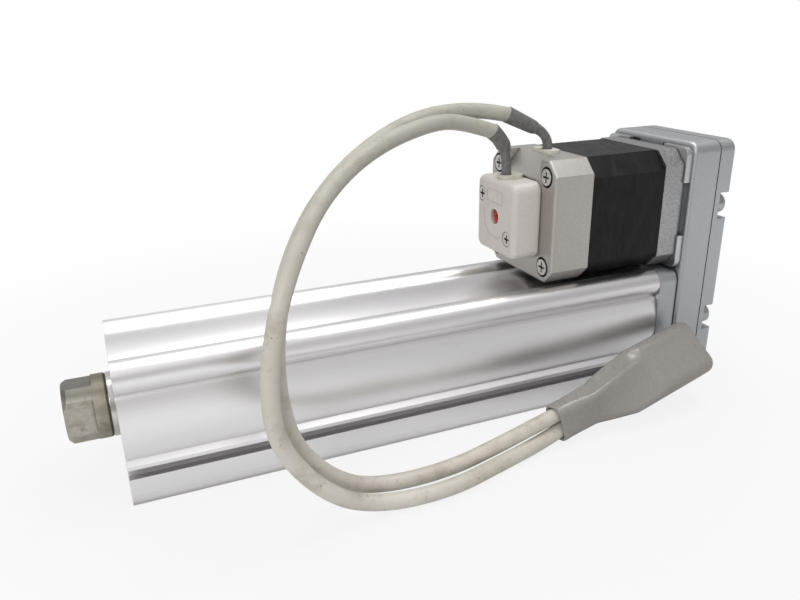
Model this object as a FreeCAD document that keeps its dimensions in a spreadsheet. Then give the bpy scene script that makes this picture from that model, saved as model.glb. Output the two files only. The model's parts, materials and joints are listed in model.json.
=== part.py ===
import FreeCAD, Part
import math
import os
import Sketcher

# Electric cylinder, rod type, with the motor folded back over the body by a toothed belt.
# Millimetres. The origin is on the rod axis in the plane of the body's front face.
# The rod points along -X, the motor stands above the body along +Z.

doc = FreeCAD.newDocument("ElectricCylinder")
sheet = doc.addObject("Spreadsheet::Sheet", "Sizes")
Vector = FreeCAD.Vector
ALONG_X = FreeCAD.Rotation(Vector(0, 1, 0), 90)
UPRIGHT = FreeCAD.Rotation()
nodes = []


class Size:
    """A length that keeps its number together with the sheet formula it comes from."""

    def __init__(self, value, text):
        self.value = float(value)
        self.text = text

    def __add__(self, other):
        other = as_size(other)
        return Size(self.value + other.value, "(%s + %s)" % (self.text, other.text))

    def __radd__(self, other):
        return as_size(other) + self

    def __sub__(self, other):
        other = as_size(other)
        return Size(self.value - other.value, "(%s - %s)" % (self.text, other.text))

    def __rsub__(self, other):
        return as_size(other) - self

    def __mul__(self, factor):
        factor = as_size(factor)
        return Size(self.value * factor.value, "(%s * %s)" % (self.text, factor.text))

    def __rmul__(self, factor):
        return as_size(factor) * self

    def __truediv__(self, divisor):
        divisor = as_size(divisor)
        return Size(self.value / divisor.value, "(%s / %s)" % (self.text, divisor.text))

    def __neg__(self):
        return Size(-self.value, "(0 - %s)" % self.text)


def as_size(value):
    if isinstance(value, Size):
        return value
    return Size(value, "(%.6f)" % value)


row_count = [0]


def size(name, value, note):
    """Write one row of the sheet and give back its value as a Size."""
    row_count[0] += 1
    row = row_count[0]
    sheet.set("A%d" % row, name)
    sheet.set("B%d" % row, "%.6f" % value)
    sheet.set("C%d" % row, note)
    sheet.setAlias("B%d" % row, name)
    return Size(value, "Sizes." + name)


# Sizes of the body and the rod
stroke = size("stroke", 100.0, "travel of the rod")
body_width = size("body_width", 44.0, "across the body")
axis_height = size("axis_height", 24.0, "rod axis above the mounting base")
body_top = size("body_top", 21.0, "top of the body above the rod axis")
lobe_radius = size("lobe_radius", 5.0, "upper corner lobes")
panel_radius = size("panel_radius", 34.0, "bulge of the side and top panels")
slot_low = size("slot_low", 9.0, "lower edge of the sensor slots above the base")
slot_high = size("slot_high", 12.1, "upper edge of the sensor slots above the base")
slot_depth = size("slot_depth", 4.6, "sensor slots from the sides of the body")
lip_height = size("lip_height", 1.1, "upright edge of the lip over a sensor slot")
panel_start = size("panel_start", 14.7, "lower edge of the side panels above the base")
panel_inset = size("panel_inset", 1.7, "side panels from the sides of the body")
bore_radius = size("bore_radius", 15.0, "bore of the body")
keyway_width = size("keyway_width", 4.0, "guide grooves in the bore")
keyway_depth = size("keyway_depth", 1.4, "guide grooves in the bore")
hole_inset = size("hole_inset", 5.0, "end holes from the sides of the body")
end_hole_radius = size("end_hole_radius", 2.1, "tapping size of the mounting holes")
end_hole_depth = size("end_hole_depth", 10.0, "mounting holes in the front face")
base_first = size("base_first", 20.0, "first pair of base holes from the front face")
base_pitch_long = size("base_pitch_long", 42.0, "base holes along the body")
base_pitch_wide = size("base_pitch_wide", 29.0, "base holes across the body")
base_hole_depth = size("base_hole_depth", 6.5, "mounting holes in the base")
pin_hole_radius = size("pin_hole_radius", 2.0, "locating pin hole in the base")
pin_hole_depth = size("pin_hole_depth", 5.0, "locating pin hole in the base")
rod_radius = size("rod_radius", 10.0, "piston rod")
rod_wall = size("rod_wall", 3.2, "wall of the hollow rod")
rod_out = size("rod_out", 14.5, "rod end in front of the face, drawn in")
socket_flats = size("socket_flats", 17.0, "across the flats of the rod end")
socket_flat_length = size("socket_flat_length", 8.5, "length of the flats")
socket_joint = size("socket_joint", 2.0, "joint of rod and rod end in front of the face")
socket_plug = size("socket_plug", 16.0, "plug of the rod end in the hollow rod")
socket_chamfer = size("socket_chamfer", 1.3, "front edge of the rod end")
joint_groove = size("joint_groove", 0.4, "groove round the joint of rod and rod end")
socket_turn = size("socket_turn", -7.0, "turn of the flats, degrees")
thread_radius = size("thread_radius", 3.4, "tapping size of the rod end thread")
thread_depth = size("thread_depth", 13.0, "depth of the rod end thread")
drill_tip = size("drill_tip", 1.6, "drill point at the end of the thread")
running_gap = size("running_gap", 0.05, "radial play of the rod in its guide")
seat_gap = size("seat_gap", 0.02, "radial play of pieces seated in a hole")

# Sizes of the rod guide and the stops
cover_front = size("cover_front", 3.0, "rod cover behind the front face")
cover_length = size("cover_length", 23.0, "rod cover")
cover_lip = size("cover_lip", 1.0, "rib between seal and bushing")
cover_lip_gap = size("cover_lip_gap", 0.4, "rib to rod")
bushing_wall = size("bushing_wall", 1.5, "rod bushing")
seal_length = size("seal_length", 5.0, "rod seal")
seal_section = size("seal_section", 2.6, "rod seal, radially")
seal_relief = size("seal_relief", 0.6, "waist between the lips of the seal")
ring_front = size("ring_front", 1.6, "groove of the retaining ring behind the front face")
ring_thickness = size("ring_thickness", 1.1, "retaining ring")
ring_play = size("ring_play", 0.05, "retaining ring in its groove")
ring_groove_depth = size("ring_groove_depth", 0.9, "groove of the retaining ring")
ring_section = size("ring_section", 1.8, "retaining ring inside the bore")
ring_opening = size("ring_opening", 7.0, "gap of the retaining ring")
bumper_thickness = size("bumper_thickness", 3.0, "both bumpers")
bumper_gap = size("bumper_gap", 0.5, "bumpers to bore")
bumper_rod_gap = size("bumper_rod_gap", 0.6, "front bumper to rod")
stop_gap = size("stop_gap", 0.5, "piston to bumper at each end of the travel")

# Sizes of the piston and the screw
piston_length = size("piston_length", 35.5, "piston")
piston_gap = size("piston_gap", 0.4, "piston to bore")
piston_groove = size("piston_groove", 2.0, "depth of the grooves of the piston")
magnet_from_front = size("magnet_from_front", 4.0, "magnet from the front of the piston")
magnet_length = size("magnet_length", 4.0, "magnet ring")
magnet_gap = size("magnet_gap", 0.2, "magnet below the surface of the piston")
stopper_from_rear = size("stopper_from_rear", 6.5, "guide ring from the rear of the piston")
stopper_length = size("stopper_length", 10.0, "guide ring")
stopper_gap = size("stopper_gap", 0.2, "guide ring to bore")
key_length = size("key_length", 9.0, "guide keys")
key_gap = size("key_gap", 0.2, "guide keys to the sides of their grooves")
key_end_gap = size("key_end_gap", 0.3, "guide keys to the floor of their grooves")
key_root = size("key_root", 1.5, "guide keys sunk in their ring")
nut_start = size("nut_start", 11.5, "ball nut behind the front of the piston")
nut_gap = size("nut_gap", 0.35, "ball nut to screw")
screw_front = size("screw_front", 30.0, "front end of the ball screw")
screw_radius = size("screw_radius", 5.0, "ball screw")
screw_chamfer = size("screw_chamfer", 1.0, "front end of the ball screw")
journal_step = size("journal_step", 1.0, "ball screw to its bearing journal")
pulley_seat_step = size("pulley_seat_step", 0.5, "bearing journal to pulley seat")
bearing_outer_radius = size("bearing_outer_radius", 11.0, "screw bearing")
bearing_width = size("bearing_width", 7.0, "screw bearing")
bearing_ring = size("bearing_ring", 2.1, "inner ring of the screw bearing")
bearing_split = size("bearing_split", 0.1, "gap between the rings of a bearing")
housing_wall = size("housing_wall", 4.0, "front wall of the bearing housing")
housing_screw_gap = size("housing_screw_gap", 1.0, "bearing housing to screw")
rear_bumper_gap = size("rear_bumper_gap", 2.0, "rear bumper to screw")
lock_nut_wall = size("lock_nut_wall", 2.4, "lock nut")
lock_nut_length = size("lock_nut_length", 4.0, "lock nut")
journal_end = size("journal_end", 4.5, "bearing journal behind the bearing")
retainer_wall = size("retainer_wall", 2.6, "bearing retainer")
retainer_length = size("retainer_length", 10.0, "bearing retainer")

# Sizes of the belt drive and its housing
flange_thickness = size("flange_thickness", 8.0, "housing flange against the body")
flange_soft = size("flange_soft", 0.8, "rear edges of the flange")
box_margin = size("box_margin", 6.0, "housing round the screws to the body")
box_over = size("box_over", 2.5, "housing above the motor")
box_corner = size("box_corner", 4.0, "corner radius of the housing")
box_soft = size("box_soft", 1.2, "edges of the housing and its plate")
box_floor = size("box_floor", 3.0, "front wall of the housing")
pulley_gap = size("pulley_gap", 0.6, "pulleys to the front wall")
plate_gap = size("plate_gap", 1.3, "pulleys to the rear plate")
plate_room = size("plate_room", 4.4, "belt room in the rear plate")
plate_wall = size("plate_wall", 2.6, "rear plate behind the belt room")
room_gap = size("room_gap", 1.55, "belt to the wall of its room")
pulley_radius = size("pulley_radius", 9.17, "over the pulley teeth")
pulley_flange = size("pulley_flange", 1.0, "thickness of the pulley flanges")
pulley_flange_rise = size("pulley_flange_rise", 1.4, "pulley flanges over the teeth")
tooth_gap_radius = size("tooth_gap_radius", 0.8, "gaps between the pulley teeth")
belt_tooth_radius = size("belt_tooth_radius", 0.72, "teeth of the belt")
belt_tooth_out = size("belt_tooth_out", 0.1, "belt teeth set into the belt")
belt_pitch = size("belt_pitch", 3.0, "teeth of the belt")
belt_gap = size("belt_gap", 0.18, "belt round the pulley teeth")
belt_side_gap = size("belt_side_gap", 0.2, "belt to the pulley flanges")
belt_thickness = size("belt_thickness", 1.5, "belt without teeth")
belt_width = size("belt_width", 8.6, "belt")
plate_screw_inset = size("plate_screw_inset", 4.4, "plate screws from the sides of the housing")
plate_screw_radius = size("plate_screw_radius", 2.0, "plate screws")
plate_screw_head = size("plate_screw_head", 3.5, "head radius of the plate screws")
plate_screw_head_length = size("plate_screw_head_length", 3.8, "heads of the plate screws")
plate_screw_key = size("plate_screw_key", 1.7, "sockets of the plate screws")
plate_screw_reach = size("plate_screw_reach", 8.0, "plate screws in the housing")
plate_hole_gap = size("plate_hole_gap", 0.2, "plate to its screws")
notch_width = size("notch_width", 9.6, "notches for the plate screws")
notch_seat = size("notch_seat", 2.4, "plate under the heads of its screws")
tube_screw_radius = size("tube_screw_radius", 2.5, "screws from the housing into the body")
tube_screw_head = size("tube_screw_head", 4.2, "head radius of the body screws")
tube_screw_head_length = size("tube_screw_head_length", 5.0, "heads of the body screws")
tube_screw_key = size("tube_screw_key", 2.3, "sockets of the body screws")
tube_screw_reach = size("tube_screw_reach", 12.0, "body screws in the body")
tube_screw_seat = size("tube_screw_seat", 5.0, "housing under the heads of the body screws")
mount_screw_radius = size("mount_screw_radius", 1.5, "motor screws")
mount_screw_head = size("mount_screw_head", 2.75, "head radius of the motor mounting screws")
mount_screw_head_length = size("mount_screw_head_length", 3.0, "heads of the motor mounting screws")
mount_screw_key = size("mount_screw_key", 1.4, "sockets of the motor mounting screws")
mount_screw_reach = size("mount_screw_reach", 4.2, "mounting screws in the motor")
mount_screw_seat = size("mount_screw_seat", 3.5, "housing under the heads of the mounting screws")
screw_hole_gap = size("screw_hole_gap", 0.1, "clearance holes round screws")
head_gap = size("head_gap", 0.2, "counterbores round screw heads")
drill_over = size("drill_over", 2.0, "holes deeper than their screws")
key_depth = size("key_depth", 1.8, "sockets of the socket screws")

# Sizes of the motor
motor_width = size("motor_width", 42.0, "square motor")
motor_gap = size("motor_gap", 1.5, "motor above the body")
motor_chamfer = size("motor_chamfer", 4.8, "corners of the end castings")
stack_chamfer = size("stack_chamfer", 6.2, "corners of the laminated stack")
stack_inset = size("stack_inset", 0.15, "laminated stack inside the castings")
adapter_thickness = size("adapter_thickness", 2.5, "pads between housing and motor")
adapter_over = size("adapter_over", 0.8, "pads beyond the sides of the motor")
adapter_corner = size("adapter_corner", 2.6, "corners of the pads")
adapter_notch_width = size("adapter_notch_width", 19.2, "gaps between the pads")
adapter_notch_depth = size("adapter_notch_depth", 2.6, "gaps between the pads")
front_casting = size("front_casting", 8.0, "front casting of the motor")
stack_length = size("stack_length", 30.0, "laminated stack")
bell_length = size("bell_length", 15.0, "rear casting of the motor")
bell_soft = size("bell_soft", 1.0, "rear edges of the rear casting")
bell_wall = size("bell_wall", 4.0, "rear casting behind its bearing")
bell_room_radius = size("bell_room_radius", 14.0, "room for the windings")
motor_screw_inset = size("motor_screw_inset", 5.5, "motor screws from the sides of the motor")
motor_screw_head = size("motor_screw_head", 2.8, "head radius of the long motor screws")
motor_screw_sunk = size("motor_screw_sunk", 2.6, "seats of the long motor screws")
motor_screw_seat = size("motor_screw_seat", 3.5, "radius of the seats of the long motor screws")
motor_screw_proud = size("motor_screw_proud", 0.2, "heads of the long motor screws out of their seats")
motor_screw_reach = size("motor_screw_reach", 3.0, "long motor screws in the front casting")
pilot_radius = size("pilot_radius", 11.0, "centring boss of the motor")
pilot_length = size("pilot_length", 2.2, "centring boss of the motor")
pilot_opening = size("pilot_opening", 6.0, "hole of the centring boss")
shaft_radius = size("shaft_radius", 2.5, "motor shaft")
shaft_hole_gap = size("shaft_hole_gap", 1.5, "rear casting and encoder board to shaft")
motor_bearing_radius = size("motor_bearing_radius", 8.0, "motor bearings")
motor_bearing_width = size("motor_bearing_width", 5.0, "motor bearings")
motor_bearing_ring = size("motor_bearing_ring", 1.65, "inner rings of the motor bearings")
rotor_radius = size("rotor_radius", 11.2, "rotor")
rotor_inset = size("rotor_inset", 3.0, "rotor shorter than the stack at each end")
air_gap = size("air_gap", 0.4, "rotor to stack")
slope_width = size("slope_width", 23.2, "sloped top of the rear casting")
slope_length = size("slope_length", 6.8, "sloped top of the rear casting")
slope_lift = size("slope_lift", 0.4, "slope above the encoder cap")
slope_over = size("slope_over", 0.6, "upper end of the slope above the motor")
motor_lead = size("motor_lead", 9.6, "motor cable exit from the rear of the casting")
motor_lead_depth = size("motor_lead_depth", 2.0, "motor cable in the casting")

# Sizes of the encoder
cap_length = size("cap_length", 10.4, "encoder cap")
cap_width = size("cap_width", 25.6, "encoder cap")
cap_height = size("cap_height", 26.4, "encoder cap")
cap_wall = size("cap_wall", 1.8, "side walls of the encoder cap")
cap_face = size("cap_face", 2.0, "rear wall of the encoder cap")
cap_corner = size("cap_corner", 3.2, "corners of the encoder cap")
cap_soft = size("cap_soft", 2.1, "rear edges of the encoder cap")
cap_hole_radius = size("cap_hole_radius", 2.7, "hole in front of the override screw")
cap_screw_radius = size("cap_screw_radius", 1.0, "cap screws")
cap_screw_head = size("cap_screw_head", 2.5, "head radius of the cap screws")
cap_screw_sunk = size("cap_screw_sunk", 1.4, "seats of the cap screws")
cap_screw_below = size("cap_screw_below", 0.1, "heads of the cap screws below the face")
cap_screw_reach = size("cap_screw_reach", 4.0, "cap screws in the rear casting")
cap_boss_wall = size("cap_boss_wall", 1.9, "bosses round the cap screws")
far_screw_side = size("far_screw_side", 3.7, "far cap screw from the side of the cap")
far_screw_down = size("far_screw_down", 6.6, "far cap screw from the top of the cap")
near_screw_side = size("near_screw_side", 4.4, "near cap screw from the side of the cap")
near_screw_up = size("near_screw_up", 7.0, "near cap screw from the bottom of the cap")
cross_width = size("cross_width", 0.7, "cross recesses")
cross_depth = size("cross_depth", 0.9, "cross recesses")
cross_margin = size("cross_margin", 1.0, "cross recesses to the rim of the head")
override_radius = size("override_radius", 2.2, "override screw")
override_sunk = size("override_sunk", 1.2, "override screw behind the face of the cap")
override_length = size("override_length", 3.2, "override screw")
disc_radius = size("disc_radius", 7.0, "encoder disc")
disc_from_face = size("disc_from_face", 6.2, "encoder disc behind the face of the cap")
disc_thickness = size("disc_thickness", 0.8, "encoder disc")
board_thickness = size("board_thickness", 1.6, "encoder board")
board_width = size("board_width", 14.5, "encoder board")
board_height = size("board_height", 14.0, "encoder board")
board_side = size("board_side", 5.0, "encoder board from the motor axis to its near edge")
board_drop = size("board_drop", 10.5, "encoder board from the motor axis to its lower edge")
sensor_height = size("sensor_height", 4.0, "sensor on the encoder board")
sensor_width = size("sensor_width", 8.0, "sensor on the encoder board")
sensor_thickness = size("sensor_thickness", 1.0, "sensor on the encoder board")
encoder_lead = size("encoder_lead", 4.0, "encoder cable exit from the face of the cap")
encoder_lead_depth = size("encoder_lead_depth", 1.5, "encoder cable in the cap")

# Sizes of the cables and their boot
cable_radius = size("cable_radius", 2.5, "both cables")
lead_radius = size("lead_radius", 1.95, "thin part of the sleeves")
shrink_radius = size("shrink_radius", 2.9, "wide part of the sleeves")
lead_gap = size("lead_gap", 0.05, "leads in their holes")
grommet_corner = size("grommet_corner", 2.6, "corners of the grommets")
cap_grommet_length = size("cap_grommet_length", 8.4, "grommet of the encoder cable")
cap_grommet_width = size("cap_grommet_width", 7.2, "grommet of the encoder cable")
cap_grommet_height = size("cap_grommet_height", 1.3, "grommet of the encoder cable")
cap_grommet_shift = size("cap_grommet_shift", 1.6, "grommet of the encoder cable, its middle behind the exit")
bell_grommet_length = size("bell_grommet_length", 6.0, "grommet of the motor cable")
bell_grommet_width = size("bell_grommet_width", 11.0, "grommet of the motor cable")
bell_grommet_height = size("bell_grommet_height", 1.0, "grommet of the motor cable")
cable_offset = size("cable_offset", 2.75, "cables from the middle of the boot")
boot_neck_width = size("boot_neck_width", 12.8, "neck of the connector boot")
boot_neck_height = size("boot_neck_height", 8.1, "neck of the connector boot")
boot_neck_length = size("boot_neck_length", 13.6, "neck of the connector boot")
boot_neck_corner = size("boot_neck_corner", 3.0, "corners of the neck")
boot_flare_length = size("boot_flare_length", 22.4, "flare between neck and body of the boot")
boot_width = size("boot_width", 21.0, "body of the connector boot")
boot_height = size("boot_height", 9.6, "body of the connector boot")
boot_body_length = size("boot_body_length", 31.5, "body of the connector boot")
boot_corner = size("boot_corner", 4.0, "corners of the body of the boot")
boot_rim = size("boot_rim", 0.85, "rim round the mouth of the boot, sideways")
boot_lip = size("boot_lip", 0.85, "rim round the mouth of the boot, upward")
mouth_recess = size("mouth_recess", 4.0, "depth of the mouth of the boot")
mouth_corner = size("mouth_corner", 2.6, "corners of the mouth of the boot")

# Turns of the boot about its own axis, in degrees
boot_neck_turn = 41
boot_body_turn = 4

# Places that follow from the sizes
half_width = body_width / 2
half_pitch = half_width - hole_inset
base = -axis_height
keyway_reach = bore_radius + keyway_depth
rod_bore_radius = rod_radius - rod_wall
seal_radius = rod_radius + seal_section
cover_end = cover_front + cover_length
front_bumper_end = cover_end + bumper_thickness
piston_radius = bore_radius - piston_gap
groove_radius = piston_radius - piston_groove
piston_front = front_bumper_end + stop_gap + stroke
piston_rear = piston_front + piston_length
rear_bumper_start = piston_rear + stop_gap
housing_start = rear_bumper_start + bumper_thickness
journal_radius = screw_radius - journal_step
pulley_seat_radius = journal_radius - pulley_seat_step
bearing_start = housing_start + housing_wall
bearing_end = bearing_start + bearing_width
body_length = bearing_end + retainer_length
box_front = body_length + flange_thickness
pulley_start = box_front + box_floor + pulley_gap
pulley_length = belt_width + 2 * (belt_side_gap + pulley_flange)
pulley_end = pulley_start + pulley_length
box_back = pulley_end + plate_gap - plate_room
box_thickness = box_back - box_front
plate_thickness = plate_room + plate_wall
rear_face = box_back + plate_thickness
motor_half = motor_width / 2
motor_height = body_top + motor_gap + motor_half
motor_top = motor_height + motor_half
motor_face = box_front - adapter_thickness
stack_front = motor_face - front_casting
stack_rear = stack_front - stack_length
bell_rear = stack_rear - bell_length
cap_rear = bell_rear - cap_length
cap_top = motor_height + cap_height / 2
motor_screw_side = motor_half - motor_screw_inset
box_half = half_pitch + box_margin
box_bottom = -box_half
box_top = motor_top + box_over
belt_inner = pulley_radius + belt_gap
belt_room_radius = belt_inner + belt_thickness + room_gap
plate_screw_side = box_half - plate_screw_inset
notch_floor = box_back + notch_seat
encoder_lead_x = cap_rear + encoder_lead
motor_lead_x = bell_rear + motor_lead
axis_level = as_size(0)
past = as_size(1)


def bind(thing, values):
    """Tie properties of a feature to formulas of the sheet."""
    for name, value in values.items():
        thing.setExpression(name, as_size(value).text)


def node(thing, label):
    """Name a finished piece and remember it for the export."""
    thing.Label = label
    nodes.append(thing)
    return thing


def place(thing, x, y, z, turn):
    """Put a primitive at a formula-driven point."""
    start = Vector(as_size(x).value, as_size(y).value, as_size(z).value)
    thing.Placement = FreeCAD.Placement(start, turn)
    bind(thing, {"Placement.Base.x": x, "Placement.Base.y": y, "Placement.Base.z": z})


def bar(name, radius, x, length, y=0, z=0):
    """A round bar along X."""
    thing = doc.addObject("Part::Cylinder", name)
    bind(thing, {"Radius": radius, "Height": length})
    place(thing, x, y, z, ALONG_X)
    return thing


def post(name, radius, x, y, z, height):
    """A round bar along Z."""
    thing = doc.addObject("Part::Cylinder", name)
    bind(thing, {"Radius": radius, "Height": height})
    place(thing, x, y, z, UPRIGHT)
    return thing


def block(name, x, y, z, length, width, height):
    thing = doc.addObject("Part::Box", name)
    bind(thing, {"Length": length, "Width": width, "Height": height})
    place(thing, x, y, z, UPRIGHT)
    return thing


def union(name, pieces):
    thing = doc.addObject("Part::MultiFuse", name)
    thing.Shapes = pieces
    return thing


def cut(name, piece, tools):
    """Take one or several tools away from a piece."""
    tool = tools[0]
    if len(tools) > 1:
        tool = union(name + "_tools", tools)
    thing = doc.addObject("Part::Cut", name)
    thing.Base = piece
    thing.Tool = tool
    return thing


def group(name, pieces):
    """Several separate equal pieces as one node."""
    thing = doc.addObject("Part::Compound", name)
    thing.Links = pieces
    return thing


def origin_plane(body, role):
    for feature in body.Origin.OriginFeatures:
        if feature.Role == role:
            return feature
    raise ValueError(role)


def new_sketch(body, name, role, offsets):
    """A sketch on one of the body's own origin planes, moved by formulas."""
    sketch = body.newObject("Sketcher::SketchObject", name)
    sketch.AttachmentSupport = [(origin_plane(body, role), "")]
    sketch.MapMode = "FlatFace"
    for axis, value in offsets.items():
        bind(sketch, {"AttachmentOffset.Base." + axis: value})
    return sketch


def pin_point(sketch, edge, end, across, up):
    """Hold one end of an edge at a formula-driven point of the sketch."""
    for kind, value in (("DistanceX", across), ("DistanceY", up)):
        value = as_size(value)
        rule = Sketcher.Constraint(kind, -1, 1, edge, end, value.value)
        index = sketch.addConstraint(rule)
        sketch.setExpression("Constraints[%d]" % index, value.text)


def outline(sketch, corners, bends=None):
    """A closed line through the corners, anticlockwise; bends gives the radius of bulging edges."""
    bends = bends or {}
    points = []
    for across, up in corners:
        points.append(Vector(as_size(across).value, as_size(up).value, 0))
    count = len(points)
    first = sketch.GeometryCount
    for index in range(count):
        start = points[index]
        end = points[(index + 1) % count]
        if index not in bends:
            sketch.addGeometry(Part.LineSegment(start, end))
            continue
        radius = as_size(bends[index]).value
        chord = end.sub(start)
        reach = math.sqrt(max(radius ** 2 - chord.Length ** 2 / 4, 0))
        inward = Vector(-chord.y, chord.x, 0).normalize()
        centre = start.add(chord.multiply(0.5)).add(inward.multiply(reach))
        from_angle = math.atan2(start.y - centre.y, start.x - centre.x)
        to_angle = math.atan2(end.y - centre.y, end.x - centre.x)
        circle = Part.Circle(centre, Vector(0, 0, 1), radius)
        sketch.addGeometry(Part.ArcOfCircle(circle, from_angle, to_angle))
    for index in range(count):
        following = first + (index + 1) % count
        sketch.addConstraint(Sketcher.Constraint("Coincident", first + index, 2, following, 1))
    for index, (across, up) in enumerate(corners):
        pin_point(sketch, first + index, 1, across, up)
    for index, radius in bends.items():
        radius = as_size(radius)
        rule = Sketcher.Constraint("Radius", first + index, radius.value)
        number = sketch.addConstraint(rule)
        sketch.setExpression("Constraints[%d]" % number, radius.text)


def turned(name, corners, y=0, z=0):
    """A turned piece about a line along X; corners are (place along X, radius)."""
    body = doc.addObject("PartDesign::Body", name)
    sketch = new_sketch(body, name + "_profile", "XZ_Plane", {"y": z, "z": -as_size(y)})
    outline(sketch, corners)
    feature = body.newObject("PartDesign::Revolution", name + "_turn")
    feature.Profile = sketch
    feature.ReferenceAxis = (sketch, ["H_Axis"])
    feature.Angle = 360
    return body


def ring(name, inner, outer, x, length, z=0):
    x = as_size(x)
    return turned(name, [(x, inner), (x + length, inner), (x + length, outer), (x, outer)], 0, z)


def extruded(name, corners, bends, x, length):
    """A piece of constant outline along X; corners are (y, z)."""
    body = doc.addObject("PartDesign::Body", name)
    sketch = new_sketch(body, name + "_outline", "YZ_Plane", {"z": x})
    outline(sketch, corners, bends)
    feature = body.newObject("PartDesign::Pad", name + "_pad")
    feature.Profile = sketch
    bind(feature, {"Length": length})
    return body


def rounded_corners(y_low, y_high, z_low, z_high, radius):
    """Corners and bends of a rounded rectangle, anticlockwise from the lower left."""
    corners = [
        (y_low + radius, z_low),
        (y_high - radius, z_low),
        (y_high, z_low + radius),
        (y_high, z_high - radius),
        (y_high - radius, z_high),
        (y_low + radius, z_high),
        (y_low, z_high - radius),
        (y_low, z_low + radius),
    ]
    bends = {1: radius, 3: radius, 5: radius, 7: radius}
    return corners, bends


def chamfered_corners(half, chamfer, height):
    """Corners of a square with chamfered corners round the motor axis."""
    near = half - chamfer
    return [
        (-near, height - half),
        (near, height - half),
        (half, height - near),
        (half, height + near),
        (near, height + half),
        (-near, height + half),
        (-half, height + near),
        (-half, height - near),
    ]


def soften(body, radius, wanted):
    """Round the edges of a body's last feature that the test picks."""
    doc.recompute()
    tip = body.Tip
    names = []
    for index, edge in enumerate(tip.Shape.Edges):
        if wanted(edge):
            names.append("Edge%d" % (index + 1))
    feature = body.newObject("PartDesign::Fillet", body.Name + "_soft")
    feature.Base = (tip, names)
    bind(feature, {"Radius": radius})
    return feature


def lies_at(edge, x):
    for vertex in edge.Vertexes:
        if abs(vertex.Point.x - as_size(x).value) > 1e-4:
            return False
    return True


# Body: one extruded aluminium profile with sensor slots, a bore and tapped holes
def side_corners(sign):
    """The profile of one side from its base corner upward, for the far side sign is 1."""
    side = half_width
    lobe_y = side - lobe_radius
    lobe_z = body_top - lobe_radius
    return [
        (sign * (side - 0.7), base),
        (sign * side, base + 3.4),
        (sign * side, base + slot_low),
        (sign * (side - 2.6), base + slot_low),
        (sign * (side - slot_depth), base + slot_low + 1.6),
        (sign * (side - slot_depth), base + slot_high + 1.2),
        (sign * (side - 1.4), base + slot_high + 1.2),
        (sign * (side - 1.4), base + slot_high),
        (sign * side, base + slot_high),
        (sign * side, base + slot_high + lip_height),
        (sign * (side - panel_inset), base + panel_start),
        (sign * (side - panel_inset), lobe_z - 5.7),
        (sign * (side - 2.4), lobe_z - 4.6),
        (sign * (lobe_y + 3.47), lobe_z - 3.6),
        (sign * (lobe_y - 3.6), lobe_z + 3.47),
        (sign * (lobe_y - 4.6), lobe_z + 2.6),
        (sign * (lobe_y - 5.7), lobe_z + 2.9),
    ]


far_side = side_corners(1)
near_side = list(reversed(side_corners(-1)))
profile_bends = {10: panel_radius, 13: lobe_radius, 16: panel_radius, 19: lobe_radius, 22: panel_radius}
body_profile = extruded("body_profile", far_side + near_side, profile_bends, axis_level, body_length)
body_tools = [bar("body_bore", bore_radius, -past, body_length + 2 * past)]
body_tools.append(
    block(
        "body_keyways",
        -past,
        -keyway_reach,
        -keyway_width / 2,
        body_length + 2 * past,
        2 * keyway_reach,
        keyway_width,
    )
)
ring_groove_width = ring_thickness + 2 * ring_play
body_tools.append(bar("ring_groove", bore_radius + ring_groove_depth, ring_front, ring_groove_width))
for across in (-1, 1):
    for up in (-1, 1):
        name = "end_hole_%d_%d" % (across + 1, up + 1)
        y_place = across * half_pitch
        z_place = up * half_pitch
        front_length = end_hole_depth + past
        body_tools.append(bar(name + "_front", end_hole_radius, -past, front_length, y_place, z_place))
        back_start = body_length - tube_screw_reach - drill_over
        back_length = tube_screw_reach + drill_over + past
        body_tools.append(bar(name + "_back", tube_screw_radius, back_start, back_length, y_place, z_place))
for step in (0, 1):
    for across in (-1, 1):
        name = "base_hole_%d_%d" % (step, across + 1)
        x_place = base_first + step * base_pitch_long
        y_place = across * base_pitch_wide / 2
        body_tools.append(post(name, end_hole_radius, x_place, y_place, base - past, base_hole_depth + past))
pin_place = base_first + base_pitch_long / 2
body_tools.append(post("base_pin_hole", pin_hole_radius, pin_place, 0, base - past, pin_hole_depth + past))
node(cut("body_cut", body_profile, body_tools), "tube")

# Rod guide in the front of the bore
seat_radius = bore_radius - seat_gap
bushing_radius = rod_radius + bushing_wall
lip_radius = rod_radius + cover_lip_gap
slide_radius = rod_radius + running_gap
seal_end = cover_front + seal_length
bushing_start = seal_end + cover_lip
cover_corners = [
    (cover_front, seal_radius),
    (seal_end, seal_radius),
    (seal_end, lip_radius),
    (bushing_start, lip_radius),
    (bushing_start, bushing_radius),
    (cover_end, bushing_radius),
    (cover_end, seat_radius),
    (cover_front, seat_radius),
]
node(turned("rod_cover_body", cover_corners), "rod_cover")
bushing_length = cover_end - bushing_start
node(ring("rod_bushing_body", slide_radius, bushing_radius, bushing_start, bushing_length), "rod_bushing")
waist_radius = rod_radius + seal_relief
seal_corners = [
    (cover_front + 0.2, slide_radius),
    (cover_front + 1.2, waist_radius),
    (seal_end - 1.4, waist_radius),
    (seal_end - 0.6, slide_radius),
    (seal_end, slide_radius),
    (seal_end, seal_radius),
    (cover_front + 0.2, seal_radius),
]
node(turned("rod_seal_body", seal_corners), "rod_seal")
snap_ring = ring(
    "snap_ring_body",
    bore_radius - ring_section,
    bore_radius + ring_groove_depth - seat_gap,
    ring_front + ring_play,
    ring_thickness,
)
ring_reach = bore_radius + ring_groove_depth + past
snap_gap = block(
    "snap_ring_gap",
    ring_front - past,
    -ring_opening / 2,
    -ring_reach,
    ring_thickness + 2 * past,
    ring_opening,
    ring_reach - bore_radius / 2,
)
node(cut("snap_ring_cut", snap_ring, [snap_gap]), "retaining_ring")
bumper_radius = bore_radius - bumper_gap
bumper_hole = rod_radius + bumper_rod_gap
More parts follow.
